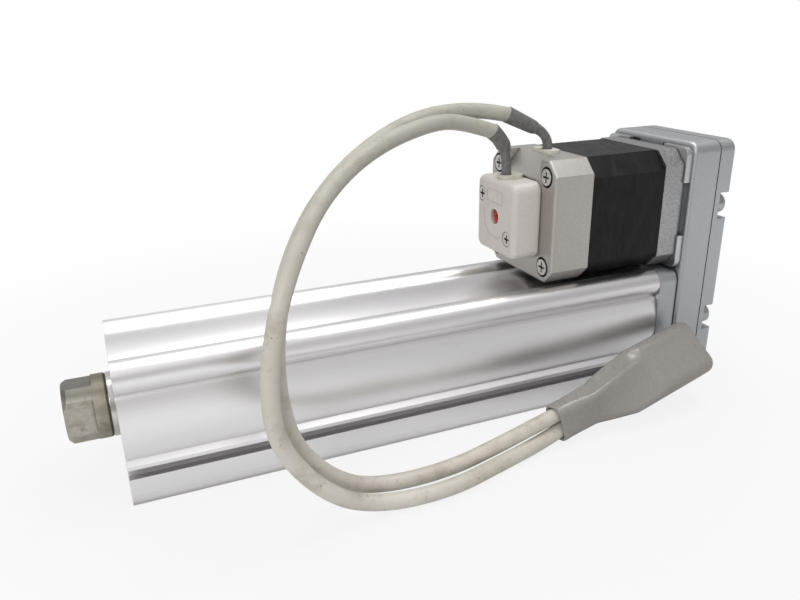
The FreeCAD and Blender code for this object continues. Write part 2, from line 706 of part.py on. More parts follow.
node(ring("front_bumper_body", bumper_hole, bumper_radius, cover_end, bumper_thickness), "front_bumper")

# Rod, rod end and piston, which slide together
rod_back = piston_front + nut_start
rod_corners = [
    (-socket_joint, rod_bore_radius),
    (rod_back, rod_bore_radius),
    (rod_back, rod_radius),
    (joint_groove - socket_joint, rod_radius),
    (-socket_joint, rod_radius - joint_groove),
]
node(turned("rod_body", rod_corners), "piston_rod")
plug_end = socket_plug - socket_joint
thread_end = thread_depth - rod_out
socket_corners = [
    (-rod_out, thread_radius),
    (thread_end, thread_radius),
    (thread_end + drill_tip, 0),
    (plug_end, 0),
    (plug_end, rod_bore_radius),
    (-socket_joint, rod_bore_radius),
    (-socket_joint, rod_radius - joint_groove),
    (-socket_joint - joint_groove, rod_radius),
    (socket_chamfer - rod_out, rod_radius),
    (-rod_out, rod_radius - socket_chamfer),
]
socket_body = turned("socket_body", socket_corners)
flat_tools = []
for index in range(4):
    flat = doc.addObject("Part::Box", "socket_flat_%d" % index)
    bind(flat, {"Length": socket_flat_length + past, "Width": 4 * rod_radius, "Height": rod_radius})
    turn = FreeCAD.Rotation(Vector(1, 0, 0), 90 * index + socket_turn.value)
    corner = turn.multVec(Vector(0, -2 * rod_radius.value, socket_flats.value / 2))
    flat.Placement = FreeCAD.Placement(Vector(-rod_out.value - past.value, corner.y, corner.z), turn)
    flat_tools.append(flat)
node(cut("socket_cut", socket_body, flat_tools), "rod_socket")
magnet_start = piston_front + magnet_from_front
magnet_end = magnet_start + magnet_length
stopper_end = piston_rear - stopper_from_rear
stopper_start = stopper_end - stopper_length
piston_corners = [
    (piston_front, rod_radius),
    (piston_rear, rod_radius),
    (piston_rear, piston_radius),
    (stopper_end, piston_radius),
    (stopper_end, groove_radius),
    (stopper_start, groove_radius),
    (stopper_start, piston_radius),
    (magnet_end, piston_radius),
    (magnet_end, groove_radius),
    (magnet_start, groove_radius),
    (magnet_start, piston_radius),
    (piston_front, piston_radius),
]
node(turned("piston_body", piston_corners), "piston")
magnet_radius = piston_radius - magnet_gap
node(ring("magnet_body", groove_radius, magnet_radius, magnet_start, magnet_length), "magnet_ring")
stopper_radius = bore_radius - stopper_gap
stopper_ring = ring("stopper_ring", groove_radius, stopper_radius, stopper_start, stopper_length)
key_start = stopper_start + (stopper_length - key_length) / 2
key_reach = keyway_reach - key_end_gap
key_width = keyway_width - 2 * key_gap
key_inner = stopper_radius - key_root
stopper_keys = []
for side in (-1, 1):
    start = key_inner if side > 0 else -key_reach
    name = "stopper_key_%d" % (side + 1)
    key_size = key_reach - key_inner
    stopper_keys.append(block(name, key_start, start, -key_width / 2, key_length, key_size, key_width))
node(union("stopper_union", [stopper_ring] + stopper_keys), "rotation_stopper")
node(ring("nut_body", screw_radius + nut_gap, rod_radius, rod_back, piston_rear - rod_back), "ball_nut")
rear_bumper_hole = screw_radius + rear_bumper_gap
rear_bumper = ring(
    "rear_bumper_body", rear_bumper_hole, bumper_radius, rear_bumper_start, bumper_thickness
)
node(rear_bumper, "rear_bumper")

# Ball screw with its bearing
screw_corners = [
    (screw_front, 0),
    (pulley_end, 0),
    (pulley_end, pulley_seat_radius),
    (bearing_end + journal_end, pulley_seat_radius),
    (bearing_end + journal_end, journal_radius),
    (bearing_start, journal_radius),
    (bearing_start, screw_radius),
    (screw_front + screw_chamfer, screw_radius),
    (screw_front, screw_radius - screw_chamfer),
]
node(turned("screw_body", screw_corners), "ball_screw")
housing_hole = screw_radius + housing_screw_gap
housing_corners = [
    (housing_start, housing_hole),
    (bearing_start, housing_hole),
    (bearing_start, bearing_outer_radius),
    (body_length, bearing_outer_radius),
    (body_length, seat_radius),
    (housing_start, seat_radius),
]
node(turned("housing_body", housing_corners), "bearing_housing")


def sealed_bearing(name, inner, outer, inner_ring, x, width, z):
    """The fixed ring with its shields and the turning ring inside it."""
    parting = inner + inner_ring
    fixed = ring(name + "_fixed", parting + bearing_split, outer, x, width, z)
    turning = ring(name + "_turning", inner, parting, x, width, z)
    return fixed, turning


screw_bearing = sealed_bearing(
    "screw_bearing",
    journal_radius,
    bearing_outer_radius,
    bearing_ring,
    bearing_start,
    bearing_width,
    axis_level,
)
node(screw_bearing[0], "screw_bearing_outer")
node(screw_bearing[1], "screw_bearing_inner")
lock_nut_radius = journal_radius + lock_nut_wall
node(ring("lock_nut_body", journal_radius, lock_nut_radius, bearing_end, lock_nut_length), "screw_lock_nut")
retainer_hole = bearing_outer_radius - retainer_wall
retainer = ring("retainer_body", retainer_hole, bearing_outer_radius, bearing_end, retainer_length)
node(retainer, "bearing_retainer")

# Belt housing with its rear plate
flange_outline = rounded_corners(-half_width, half_width, base, body_top, lobe_radius)
housing_flange = extruded("box_flange", flange_outline[0], flange_outline[1], body_length, flange_thickness)
soften(housing_flange, flange_soft, lambda edge: lies_at(edge, box_front))
box_outline = rounded_corners(-box_half, box_half, box_bottom, box_top, box_corner)
box_main = extruded("box_main", box_outline[0], box_outline[1], box_front, box_thickness)
soften(box_main, box_soft, lambda edge: lies_at(edge, box_front))
box_union = union("box_union", [housing_flange, box_main])


def belt_room(name, radius, x, length):
    """A long round-ended room or loop round both pulley axes."""
    low = bar(name + "_low", radius, x, length)
    high = bar(name + "_high", radius, x, length, 0, motor_height)
    middle = block(name + "_middle", x, -radius, 0, length, 2 * radius, motor_height)
    return union(name, [low, high, middle])


box_tools = [belt_room("box_room", belt_room_radius, box_front + box_floor, box_thickness)]
screw_way = flange_thickness + box_floor + 2 * past
box_tools.append(bar("box_screw_hole", retainer_hole, body_length - past, screw_way))
pilot_hole = pilot_radius + seat_gap
box_tools.append(bar("box_motor_hole", pilot_hole, box_front - past, box_floor + 2 * past, 0, motor_height))
plate_screw_places = []
tube_screw_places = []
mount_screw_places = []
for across in (-1, 1):
    for level in (0, 1):
        plate_screw_places.append((across, across * plate_screw_side, level * motor_height))
    for up in (-1, 1):
        tube_screw_places.append((across * half_pitch, up * half_pitch))
        mount_screw_places.append((across * motor_screw_side, motor_height + up * motor_screw_side))
tube_seat = box_front + tube_screw_seat
mount_seat = box_front + mount_screw_seat
tube_hole_radius = tube_screw_radius + screw_hole_gap
mount_hole_radius = mount_screw_radius + screw_hole_gap
for index, (side, y_place, z_place) in enumerate(plate_screw_places):
    name = "box_plate_hole_%d" % index
    hole_start = box_back - plate_screw_reach - past
    hole_length = plate_screw_reach + 2 * past
    box_tools.append(bar(name, plate_screw_radius, hole_start, hole_length, y_place, z_place))
for index, (y_place, z_place) in enumerate(tube_screw_places):
    hole_length = tube_seat - body_length + 2 * past
    head_length = box_back - tube_seat + past
    head_radius = tube_screw_head + head_gap
    name = "box_tube_%d" % index
    box_tools.append(
        bar(name + "_hole", tube_hole_radius, body_length - past, hole_length, y_place, z_place)
    )
    box_tools.append(bar(name + "_head", head_radius, tube_seat, head_length, y_place, z_place))
for index, (y_place, z_place) in enumerate(mount_screw_places):
    hole_length = mount_screw_seat + 2 * past
    head_length = box_back - mount_seat + past
    head_radius = mount_screw_head + head_gap
    name = "box_mount_%d" % index
    box_tools.append(
        bar(name + "_hole", mount_hole_radius, box_front - past, hole_length, y_place, z_place)
    )
    box_tools.append(bar(name + "_head", head_radius, mount_seat, head_length, y_place, z_place))
node(cut("box_cut", box_union, box_tools), "return_box")

plate_main = extruded("plate_main", box_outline[0], box_outline[1], box_back, plate_thickness)
soften(plate_main, box_soft, lambda edge: lies_at(edge, rear_face))
plate_tools = [belt_room("plate_room_cut", belt_room_radius, box_back - past, plate_room + past)]
notch_depth = plate_thickness - notch_seat + past
notch_reach = plate_screw_inset + past
for index, (side, y_place, z_place) in enumerate(plate_screw_places):
    hole_radius = plate_screw_radius + plate_hole_gap
    plate_tools.append(
        bar("plate_hole_%d" % index, hole_radius, box_back - past, plate_thickness, y_place, z_place)
    )
    notch_end = bar("plate_notch_end_%d" % index, notch_width / 2, notch_floor, notch_depth, y_place, z_place)
    notch_start = y_place if side > 0 else y_place - notch_reach
    notch_side = block(
        "plate_notch_side_%d" % index,
        notch_floor,
        notch_start,
        z_place - notch_width / 2,
        notch_depth,
        notch_reach,
        notch_width,
    )
    plate_tools.append(union("plate_notch_%d" % index, [notch_end, notch_side]))
node(cut("plate_cut", plate_main, plate_tools), "return_plate")


def cap_screw(name, sizes, seat_x, end_x, y, z):
    """A socket screw whose head points along +X from its seat; sizes are head, length, shank and key."""
    head_radius, head_length, shank_radius, key_radius = sizes
    head = bar(name + "_head", head_radius, seat_x, head_length, y, z)
    shank = bar(name + "_shank", shank_radius, end_x, seat_x - end_x + past / 2, y, z)
    whole = union(name + "_whole", [head, shank])
    socket = doc.addObject("Part::Prism", name + "_socket")
    socket.Polygon = 6
    bind(socket, {"Circumradius": key_radius, "Height": key_depth + past})
    place(socket, seat_x + head_length - key_depth, y, z, ALONG_X)
    return cut(name, whole, [socket])


plate_screw_sizes = (plate_screw_head, plate_screw_head_length, plate_screw_radius, plate_screw_key)
plate_screw_list = []
for index, (side, y_place, z_place) in enumerate(plate_screw_places):
    end = box_back - plate_screw_reach
    plate_screw_list.append(
        cap_screw("plate_screw_%d" % index, plate_screw_sizes, notch_floor, end, y_place, z_place)
    )
node(group("plate_screw_group", plate_screw_list), "plate_screws")
tube_screw_sizes = (tube_screw_head, tube_screw_head_length, tube_screw_radius, tube_screw_key)
tube_screw_list = []
for index, (y_place, z_place) in enumerate(tube_screw_places):
    name = "tube_screw_%d" % index
    end = body_length - tube_screw_reach
    tube_screw_list.append(cap_screw(name, tube_screw_sizes, tube_seat, end, y_place, z_place))
node(group("tube_screw_group", tube_screw_list), "tube_screws")
mount_screw_sizes = (mount_screw_head, mount_screw_head_length, mount_screw_radius, mount_screw_key)
mount_screw_list = []
for index, (y_place, z_place) in enumerate(mount_screw_places):
    end = motor_face - mount_screw_reach
    mount_screw_list.append(
        cap_screw("mount_screw_%d" % index, mount_screw_sizes, mount_seat, end, y_place, z_place)
    )
node(group("mount_screw_group", mount_screw_list), "motor_mount_screws")

# Pads between the housing and the motor, joined round the centring boss
adapter_half = motor_half + adapter_over
adapter_outline = rounded_corners(
    -adapter_half, adapter_half, motor_height - adapter_half, motor_height + adapter_half, adapter_corner
)
adapter_main = extruded("adapter_main", adapter_outline[0], adapter_outline[1], motor_face, adapter_thickness)
adapter_through = adapter_thickness + 2 * past
adapter_start = motor_face - past
adapter_tools = [bar("adapter_hole", pilot_hole, adapter_start, adapter_through, 0, motor_height)]
notch_half = adapter_notch_width / 2
notch_reach = adapter_notch_depth + past
adapter_edge = adapter_half - adapter_notch_depth
for side in (-1, 1):
    start = adapter_edge if side > 0 else -adapter_edge - notch_reach
    adapter_tools.append(
        block(
            "adapter_side_%d" % (side + 1),
            adapter_start,
            start,
            motor_height - notch_half,
            adapter_through,
            notch_reach,
            adapter_notch_width,
        )
    )
    adapter_tools.append(
        block(
            "adapter_end_%d" % (side + 1),
            adapter_start,
            -notch_half,
            motor_height + start,
            adapter_through,
            adapter_notch_width,
            notch_reach,
        )
    )
for index, (y_place, z_place) in enumerate(mount_screw_places):
    name = "adapter_screw_hole_%d" % index
    adapter_tools.append(bar(name, mount_hole_radius, adapter_start, adapter_through, y_place, z_place))
node(cut("adapter_cut", adapter_main, adapter_tools), "motor_adapter")

# Motor: front casting, laminated stack, rear casting and the long screws
casting_outline = chamfered_corners(motor_half, motor_chamfer, motor_height)
front_main = extruded("motor_front_main", casting_outline, None, stack_front, front_casting)
front_boss = bar("motor_front_boss", pilot_radius, motor_face - past, pilot_length + past, 0, motor_height)
front_union = union("motor_front_union", [front_main, front_boss])
front_through = front_casting + pilot_length + 2 * past
front_start = stack_front - past
front_tools = [
    bar("motor_front_seat", motor_bearing_radius, front_start, motor_bearing_width + past, 0, motor_height)
]
front_tools.append(bar("motor_front_opening", pilot_opening, front_start, front_through, 0, motor_height))
for index, (y_place, z_place) in enumerate(mount_screw_places):
    name = "motor_front_hole_%d" % index
    front_tools.append(bar(name, mount_screw_radius, front_start, front_through, y_place, z_place))
node(cut("motor_front_cut", front_union, front_tools), "motor_front_casting")

stack_outline = chamfered_corners(motor_half - stack_inset, stack_chamfer, motor_height)
stack_main = extruded("stack_main", stack_outline, None, stack_rear, stack_length)
stack_through = stack_length + 2 * past
stack_start = stack_rear - past
stack_tools = [bar("stack_bore", rotor_radius + air_gap, stack_start, stack_through, 0, motor_height)]
for index, (y_place, z_place) in enumerate(mount_screw_places):
    name = "stack_hole_%d" % index
    stack_tools.append(bar(name, mount_hole_radius, stack_start, stack_through, y_place, z_place))
node(cut("stack_cut", stack_main, stack_tools), "motor_stack")

bell_main = extruded("bell_main", casting_outline, None, bell_rear, bell_length)
soften(bell_main, bell_soft, lambda edge: lies_at(edge, bell_rear))
screw_seat = bell_rear + motor_screw_sunk
bearing_seat = bell_rear + bell_wall
room_start = bearing_seat + motor_bearing_width
bell_start = bell_rear - past
shaft_hole = shaft_radius + shaft_hole_gap
bell_tools = [bar("bell_room", bell_room_radius, room_start, stack_rear - room_start + past, 0, motor_height)]
bell_tools.append(
    bar("bell_seat", motor_bearing_radius, bearing_seat, motor_bearing_width + past, 0, motor_height)
)
bell_tools.append(bar("bell_shaft_hole", shaft_hole, bell_start, bell_length, 0, motor_height))
for index, (y_place, z_place) in enumerate(mount_screw_places):
    name = "bell_screw_%d" % index
    hole_length = bell_length + 2 * past
    seat_length = motor_screw_sunk + past
    bell_tools.append(bar(name + "_hole", mount_hole_radius, bell_start, hole_length, y_place, z_place))
    bell_tools.append(bar(name + "_seat", motor_screw_seat, bell_start, seat_length, y_place, z_place))
slope = doc.addObject("PartDesign::Body", "bell_slope")
slope_sketch = new_sketch(slope, "bell_slope_outline", "XZ_Plane", {"z": -slope_width / 2})
slope_low = cap_top + slope_lift
slope_corners = [
    (bell_start, slope_low - past),
    (bell_rear + slope_length, motor_top + slope_over),
    (bell_rear + slope_length, motor_top + 4 * past),
    (bell_start, motor_top + 4 * past),
]
outline(slope_sketch, slope_corners)
slope_pad = slope.newObject("PartDesign::Pad", "bell_slope_pad")
slope_pad.Profile = slope_sketch
bind(slope_pad, {"Length": slope_width})
bell_tools.append(slope)
lead_hole = lead_radius + lead_gap
lead_hole_depth = motor_lead_depth + motor_screw_sunk
lead_hole_start = motor_top - lead_hole_depth
bell_tools.append(
    post("bell_lead_hole", lead_hole, motor_lead_x, 0, lead_hole_start, lead_hole_depth + past)
)
cap_screw_places = [
    (cap_width / 2 - far_screw_side, cap_top - far_screw_down),
    (near_screw_side - cap_width / 2, cap_top - cap_height + near_screw_up),
]
for index, (y_place, z_place) in enumerate(cap_screw_places):
    name = "bell_cap_hole_%d" % index
    bell_tools.append(bar(name, cap_screw_radius, bell_start, cap_screw_reach + past, y_place, z_place))
node(cut("bell_cut", bell_main, bell_tools), "motor_rear_casting")


def cross_slots(name, radius, x, y, z):
    """The two slots of a cross recess in a face that looks along -X."""
    long_side = 2 * (radius - cross_margin)
    slots = []
    for index, (width, height) in enumerate(((long_side, cross_width), (cross_width, long_side))):
        y_start = as_size(y) - width / 2
        z_start = as_size(z) - height / 2
        slots.append(
            block("%s_slot_%d" % (name, index), x - past, y_start, z_start, cross_depth + past, width, height)
        )
    return slots


def cross_screw(name, head_radius, head_x, seat_x, shank_radius, shank_end, y, z):
    """A round-head screw whose head points along -X, with a cross recess."""
    head = bar(name + "_head", head_radius, head_x, seat_x - head_x, y, z)
    shank_start = seat_x - past / 2
    shank = bar(name + "_shank", shank_radius, shank_start, shank_end - shank_start, y, z)
    whole = union(name + "_whole", [head, shank])
    return cut(name, whole, cross_slots(name, head_radius, head_x, y, z))


motor_screw_list = []
for index, (y_place, z_place) in enumerate(mount_screw_places):
    name = "motor_screw_%d" % index
    head_x = bell_rear - motor_screw_proud
    end = stack_front + motor_screw_reach
    motor_screw_list.append(
        cross_screw(name, motor_screw_head, head_x, screw_seat, mount_screw_radius, end, y_place, z_place)
    )
node(group("motor_screw_group", motor_screw_list), "motor_screws")

# Rotor, shaft and motor bearings
rotor_start = stack_rear + rotor_inset
rotor_length = stack_length - 2 * rotor_inset
node(ring("rotor_body", shaft_radius, rotor_radius, rotor_start, rotor_length, motor_height), "motor_rotor")
override_start = cap_rear + override_sunk
override_end = override_start + override_length
shaft_corners = [
    (override_end, 0),
    (pulley_end, 0),
    (pulley_end, shaft_radius),
    (override_end, shaft_radius),
]
node(turned("shaft_body", shaft_corners, 0, motor_height), "motor_shaft")
motor_bearings = []
for name, start in (("motor_rear_bearing", bearing_seat), ("motor_front_bearing", stack_front)):
    motor_bearings.append(
        sealed_bearing(
            name,
            shaft_radius,
            motor_bearing_radius,
            motor_bearing_ring,
            start,
            motor_bearing_width,
            motor_height,
        )
    )
node(group("motor_bearing_outer_group", [pair[0] for pair in motor_bearings]), "motor_bearing_outers")
node(group("motor_bearing_inner_group", [pair[1] for pair in motor_bearings]), "motor_bearing_inners")

# Pulleys and belt
tooth_count = 20


def toothed_pulley(name, bore, z):
    """A belt pulley with a flange at each end."""
    rim = pulley_radius + pulley_flange_rise
    teeth_start = pulley_start + pulley_flange
    teeth_end = pulley_end - pulley_flange
    hub_corners = [
        (pulley_start, bore),
        (pulley_end, bore),
        (pulley_end, rim),
        (teeth_end, rim),
        (teeth_end, pulley_radius),
        (teeth_start, pulley_radius),
        (teeth_start, rim),
        (pulley_start, rim),
    ]
    hub = turned(name + "_hub", hub_corners, 0, z)
    gaps = []
    for index in range(tooth_count):
        angle = 2 * math.pi * index / tooth_count
        y_place = pulley_radius * math.cos(angle)
        z_place = z + pulley_radius * math.sin(angle)
        gap_name = "%s_gap_%d" % (name, index)
        gaps.append(bar(gap_name, tooth_gap_radius, teeth_start, teeth_end - teeth_start, y_place, z_place))
    return cut(name, hub, gaps)


node(toothed_pulley("screw_pulley_cut", pulley_seat_radius, axis_level), "screw_pulley")
node(toothed_pulley("motor_pulley_cut", shaft_radius, motor_height), "motor_pulley")
belt_start = pulley_start + pulley_flange + belt_side_gap
belt_outside = belt_room("belt_outside", belt_inner + belt_thickness, belt_start, belt_width)
belt_inside = belt_room("belt_inside", belt_inner, belt_start, belt_width)
belt_pieces = [cut("belt_band", belt_outside, [belt_inside])]
shown_teeth = 6
for index in range(shown_teeth):
    tooth_z = motor_height / 2 + belt_pitch * (index - (shown_teeth - 1) / 2)
    for side in (-1, 1):
        tooth_y = side * (belt_inner + belt_tooth_out)
        name = "belt_tooth_%d_%d" % (index, side + 1)
        belt_pieces.append(bar(name, belt_tooth_radius, belt_start, belt_width, tooth_y, tooth_z))
node(union("belt_union", belt_pieces), "timing_belt")

# Encoder under its cap on the rear casting
cap_half_width = cap_width / 2
cap_bottom = cap_top - cap_height
cap_outline = rounded_corners(-cap_half_width, cap_half_width, cap_bottom, cap_top, cap_corner)
cap_main = extruded("cap_main", cap_outline[0], cap_outline[1], cap_rear, cap_length)
soften(cap_main, cap_soft, lambda edge: lies_at(edge, cap_rear))
room_width = cap_width - 2 * cap_wall
room_height = cap_height - 2 * cap_wall
cap_tools = [
    block(
        "cap_room",
        cap_rear + cap_face,
        -room_width / 2,
        cap_bottom + cap_wall,
        cap_length,
        room_width,
        room_height,
    )
]
face_through = cap_face + 2 * past
cap_tools.append(bar("cap_centre_hole", cap_hole_radius, cap_rear - past, face_through, 0, motor_height))
cap_lead_depth = cap_wall + past
cap_tools.append(
    post("cap_lead_hole", lead_hole, encoder_lead_x, 0, cap_top - cap_lead_depth, cap_lead_depth + past)
)
cap_shell = cut("cap_shell", cap_main, cap_tools)
cap_bosses = []
cap_holes = []
boss_start = cap_rear + cap_face - past / 10
for index, (y_place, z_place) in enumerate(cap_screw_places):
    name = "cap_screw_%d" % index
    boss_radius = cap_screw_radius + cap_boss_wall
    cap_bosses.append(bar(name + "_boss", boss_radius, boss_start, bell_rear - boss_start, y_place, z_place))
    hole_radius = cap_screw_radius + screw_hole_gap
    hole_length = cap_length + 2 * past
    cap_holes.append(bar(name + "_hole", hole_radius, cap_rear - past, hole_length, y_place, z_place))
    head_radius = cap_screw_head + head_gap
    seat_length = cap_screw_sunk + past
    cap_holes.append(bar(name + "_seat", head_radius, cap_rear - past, seat_length, y_place, z_place))
cap_solid = union("cap_solid", [cap_shell] + cap_bosses)
node(cut("cap_cut", cap_solid, cap_holes), "encoder_cap")
cap_screw_list = []
for index, (y_place, z_place) in enumerate(cap_screw_places):
    name = "cap_screw_%d_whole" % index
    head_x = cap_rear + cap_screw_below
    seat_x = cap_rear + cap_screw_sunk
    end = bell_rear + cap_screw_reach
    cap_screw_list.append(
        cross_screw(name, cap_screw_head, head_x, seat_x, cap_screw_radius, end, y_place, z_place)
    )
node(group("cap_screw_group", cap_screw_list), "cap_screws")
override_bar = bar("override_bar", override_radius, override_start, override_length, 0, motor_height)
override_slots = cross_slots("override", override_radius, override_start, 0, motor_height)
node(cut("override_cut", override_bar, override_slots), "override_screw")
disc_start = cap_rear + disc_from_face
node(ring("disc_body", shaft_radius, disc_radius, disc_start, disc_thickness, motor_height), "encoder_disc")
board_start = bell_rear - board_thickness
board_bottom = motor_height - board_drop
board_main = block(
    "board_main", board_start, -board_side, board_bottom, board_thickness, board_width, board_height
)
board_hole = bar("board_hole", shaft_hole, board_start - past, board_thickness + 2 * past, 0, motor_height)
board_sensor = block(
    "board_sensor",
    board_start - sensor_thickness,
    -sensor_width / 2,
    board_bottom + past,
    sensor_thickness + past / 10,
    sensor_width,
    sensor_height,
)
board_solid = union("board_solid", [board_main, board_sensor])
node(cut("board_cut", board_solid, [board_hole]), "encoder_board")


def grommet(name, x, z, length, width, height, hole_x):
    """A rounded pad round a cable exit."""
    body = doc.addObject("PartDesign::Body", name + "_pad_body")
    sketch = new_sketch(body, name + "_outline", "XY_Plane", {"x": x, "z": z})
    corners, bends = rounded_corners(-length / 2, length / 2, -width / 2, width / 2, grommet_corner)
    outline(sketch, corners, bends)
    pad = body.newObject("PartDesign::Pad", name + "_pad")
    pad.Profile = sketch
    bind(pad, {"Length": height})
    hole = post(name + "_hole", lead_hole, hole_x, 0, z - past, height + 2 * past)
    return cut(name + "_cut", body, [hole])


cap_grommet = grommet(
    "cap_grommet",
    encoder_lead_x + cap_grommet_shift,
    cap_top,
    cap_grommet_length,
    cap_grommet_width,
    cap_grommet_height,
    encoder_lead_x,
)
node(cap_grommet, "cap_grommet")
bell_grommet = grommet(
    "bell_grommet",
    motor_lead_x,
    motor_top,
    bell_grommet_length,
    bell_grommet_width,
    bell_grommet_height,
    motor_lead_x,
)
node(bell_grommet, "bell_grommet")


# Cables: each leaves through a sleeve, arches over and ends in one shared connector boot
def high_point(along, across, up):
    """A point measured from the encoder cap's face and the top of the motor."""
    return Vector(cap_rear.value + along, across, motor_top.value + up)


def low_point(along, across, up):
    """A point measured from the encoder cap's face and the mounting base."""
    return Vector(cap_rear.value + along, across, base.value + up)


boot_mouth = low_point(0.8, -42.8, 6.9)
boot_far = low_point(66.6, -33.8, 19.1)
boot_axis = boot_far.sub(boot_mouth).normalize()
boot_side = Vector(-0.28, 0.75, 0.60)
boot_side = boot_side.sub(Vector(boot_axis).multiply(boot_side.dot(boot_axis))).normalize()
boot_up = boot_axis.cross(boot_side)
mouth_turn = math.radians(boot_neck_turn)
mouth_side = Vector(boot_side).multiply(math.cos(mouth_turn))
mouth_side = mouth_side.add(Vector(boot_up).multiply(math.sin(mouth_turn)))


def boot_point(sideways):
    """A point on the floor of the boot's mouth."""
    along = Vector(boot_axis).multiply(mouth_recess.value)
    return boot_mouth.add(along).add(Vector(mouth_side).multiply(sideways.value))


encoder_route = [
    high_point(-3.0, -0.6, 8.1),
    high_point(-14.1, -3.4, 12.65),
    high_point(-28.4, -9.55, 14.25),
    high_point(-52.6, -22.0, 10.3),
    high_point(-71.6, -33.0, 0.9),
    high_point(-84.0, -43.0, -13.5),
    high_point(-92.1, -49.5, -30.5),
    low_point(-95.2, -52.8, 41.0),
    low_point(-93.4, -54.8, 26.6),
    low_point(-80.3, -55.4, 9.4),
    low_point(-65.1, -55.2, 2.7),
    low_point(-44.0, -56.2, 2.7),
    low_point(-24.0, -50.4, 2.7),
    low_point(-6.5, -45.4, 2.8),
    boot_point(-cable_offset),
]
motor_route = [
    high_point(5.8, 2.0, 13.0),
    high_point(-6.0, 2.9, 15.8),
    high_point(-30.4, -4.2, 15.7),
    high_point(-54.2, -16.8, 8.7),
    high_point(-72.2, -28.2, -2.3),
    high_point(-84.0, -37.6, -16.4),
    high_point(-90.0, -43.4, -32.4),
    low_point(-91.1, -45.4, 38.5),
    low_point(-88.0, -46.8, 22.5),
    low_point(-76.3, -47.0, 8.4),
    low_point(-62.1, -46.4, 2.7),
    low_point(-40.1, -46.6, 2.7),
    low_point(-21.0, -44.8, 5.8),
    low_point(-7.5, -43.3, 8.3),
    boot_point(cable_offset),
]


def route_wire(points):
    """Straight runs joined by tangent arcs; gives the wire and the smallest radius."""
    edges = []
    radii = []
    last = points[0]
    for index in range(1, len(points) - 1):
        before = points[index - 1].sub(points[index])
        after = points[index + 1].sub(points[index])
        turn = math.pi - before.getAngle(after)
        reach = 0.45 * min(before.Length, after.Length)
        radius = reach / math.tan(turn / 2)
        radii.append(radius)
        start = points[index].add(Vector(before).normalize().multiply(reach))
        end = points[index].add(Vector(after).normalize().multiply(reach))
        toward = Vector(before).normalize().add(Vector(after).normalize()).normalize()
        depth = radius / math.cos(turn / 2) - radius
        middle = points[index].add(toward.multiply(depth))
        edges.append(Part.LineSegment(last, start).toShape())
        edges.append(Part.Arc(start, middle, end).toShape())
        last = end
    edges.append(Part.LineSegment(last, points[-1]).toShape())
    return Part.Wire(edges), min(radii)


def swept(name, points, radius):
    """A round cord along a route."""
    wire, smallest = route_wire(points)
    heading = points[1].sub(points[0]).normalize()
    section = Part.Wire([Part.Circle(points[0], heading, radius.value).toShape()])
    solid = wire.makePipeShell([section], True, True)
    wanted = math.pi * radius.value ** 2 * wire.Length
    print(name, "length", round(wire.Length, 1), "smallest radius", round(smallest, 1))
    print(name, "volume over section times length", round(solid.Volume / wanted, 4))
    feature = doc.addObject("Part::Feature", name)
    feature.Shape = solid
    return feature


node(swept("encoder_cable_sweep", encoder_route, cable_radius), "encoder_cable")
node(swept("motor_cable_sweep", motor_route, cable_radius), "motor_cable")


def beyond(start, end, distance):
    """The point at a distance from the start of a run."""
    return start.add(end.sub(start).normalize().multiply(distance))


def sleeve(name, points, wide_points):
    """A thin lead out of a grommet that runs into a wider sleeve, which ends on the cable's first face."""
    thin = swept(name + "_thin", points, lead_radius)
    wide = swept(name + "_wide", wide_points, shrink_radius)
    return union(name, [thin, wide])


encoder_lead_points = [
    Vector(encoder_lead_x.value, 0, cap_top.value - encoder_lead_depth.value),
    Vector(encoder_lead_x.value, 0, motor_top.value),
    high_point(1.9, 0.5, 6.0),
    encoder_route[0],
]
encoder_wide_points = [beyond(encoder_lead_points[1], encoder_lead_points[2], 2.9)] + encoder_lead_points[2:]
node(sleeve("encoder_sleeve_union", encoder_lead_points, encoder_wide_points), "encoder_sleeve")
motor_lead_points = [
    Vector(motor_lead_x.value, 0, motor_top.value - motor_lead_depth.value),
    Vector(motor_lead_x.value, 0, motor_top.value + 4.1),
    high_point(16.6, 0.8, 9.1),
    high_point(11.6, 1.56, 11.6),
    motor_route[0],
]
motor_wide_points = [beyond(motor_lead_points[2], motor_lead_points[3], 1.0)] + motor_lead_points[3:]
node(sleeve("motor_sleeve_union", motor_lead_points, motor_wide_points), "motor_sleeve")


def boot_outline(body, name, along, turned_by, width, height, radius):
    """A rounded rectangle across the boot, turned about the boot's axis by degrees."""
    corners, bends = rounded_corners(-width / 2, width / 2, -height / 2, height / 2, radius)
    sketch = new_sketch(body, name, "YZ_Plane", {})
    turn = FreeCAD.Rotation(Vector(0, 0, 1), turned_by)
    sketch.AttachmentOffset = FreeCAD.Placement(Vector(), turn)
    bind(sketch, {"AttachmentOffset.Base.z": along})
    outline(sketch, corners, bends)
    return sketch


boot = doc.addObject("PartDesign::Body", "boot_body")
shoulder = boot_neck_length + boot_flare_length
boot_end = shoulder + boot_body_length
neck_section = (boot_neck_turn, boot_neck_width, boot_neck_height, boot_neck_corner)
body_section = (boot_body_turn, boot_width, boot_height, boot_corner)
boot_sections = [
    boot_outline(boot, "boot_mouth_outline", axis_level, *neck_section),
    boot_outline(boot, "boot_neck_outline", boot_neck_length, *neck_section),
    boot_outline(boot, "boot_shoulder_outline", shoulder, *body_section),
    boot_outline(boot, "boot_end_outline", boot_end, *body_section),
]
boot_loft = boot.newObject("PartDesign::AdditiveLoft", "boot_loft")
boot_loft.Profile = boot_sections[0]
boot_loft.Sections = boot_sections[1:]
boot_loft.Ruled = True
recess_width = boot_neck_width - 2 * boot_rim
recess_height = boot_neck_height - 2 * boot_lip
recess_section = (boot_neck_turn, recess_width, recess_height, mouth_corner)
recess_sketch = boot_outline(boot, "boot_recess_outline", axis_level, *recess_section)
boot_recess = boot.newObject("PartDesign::Pocket", "boot_recess")
boot_recess.Profile = recess_sketch
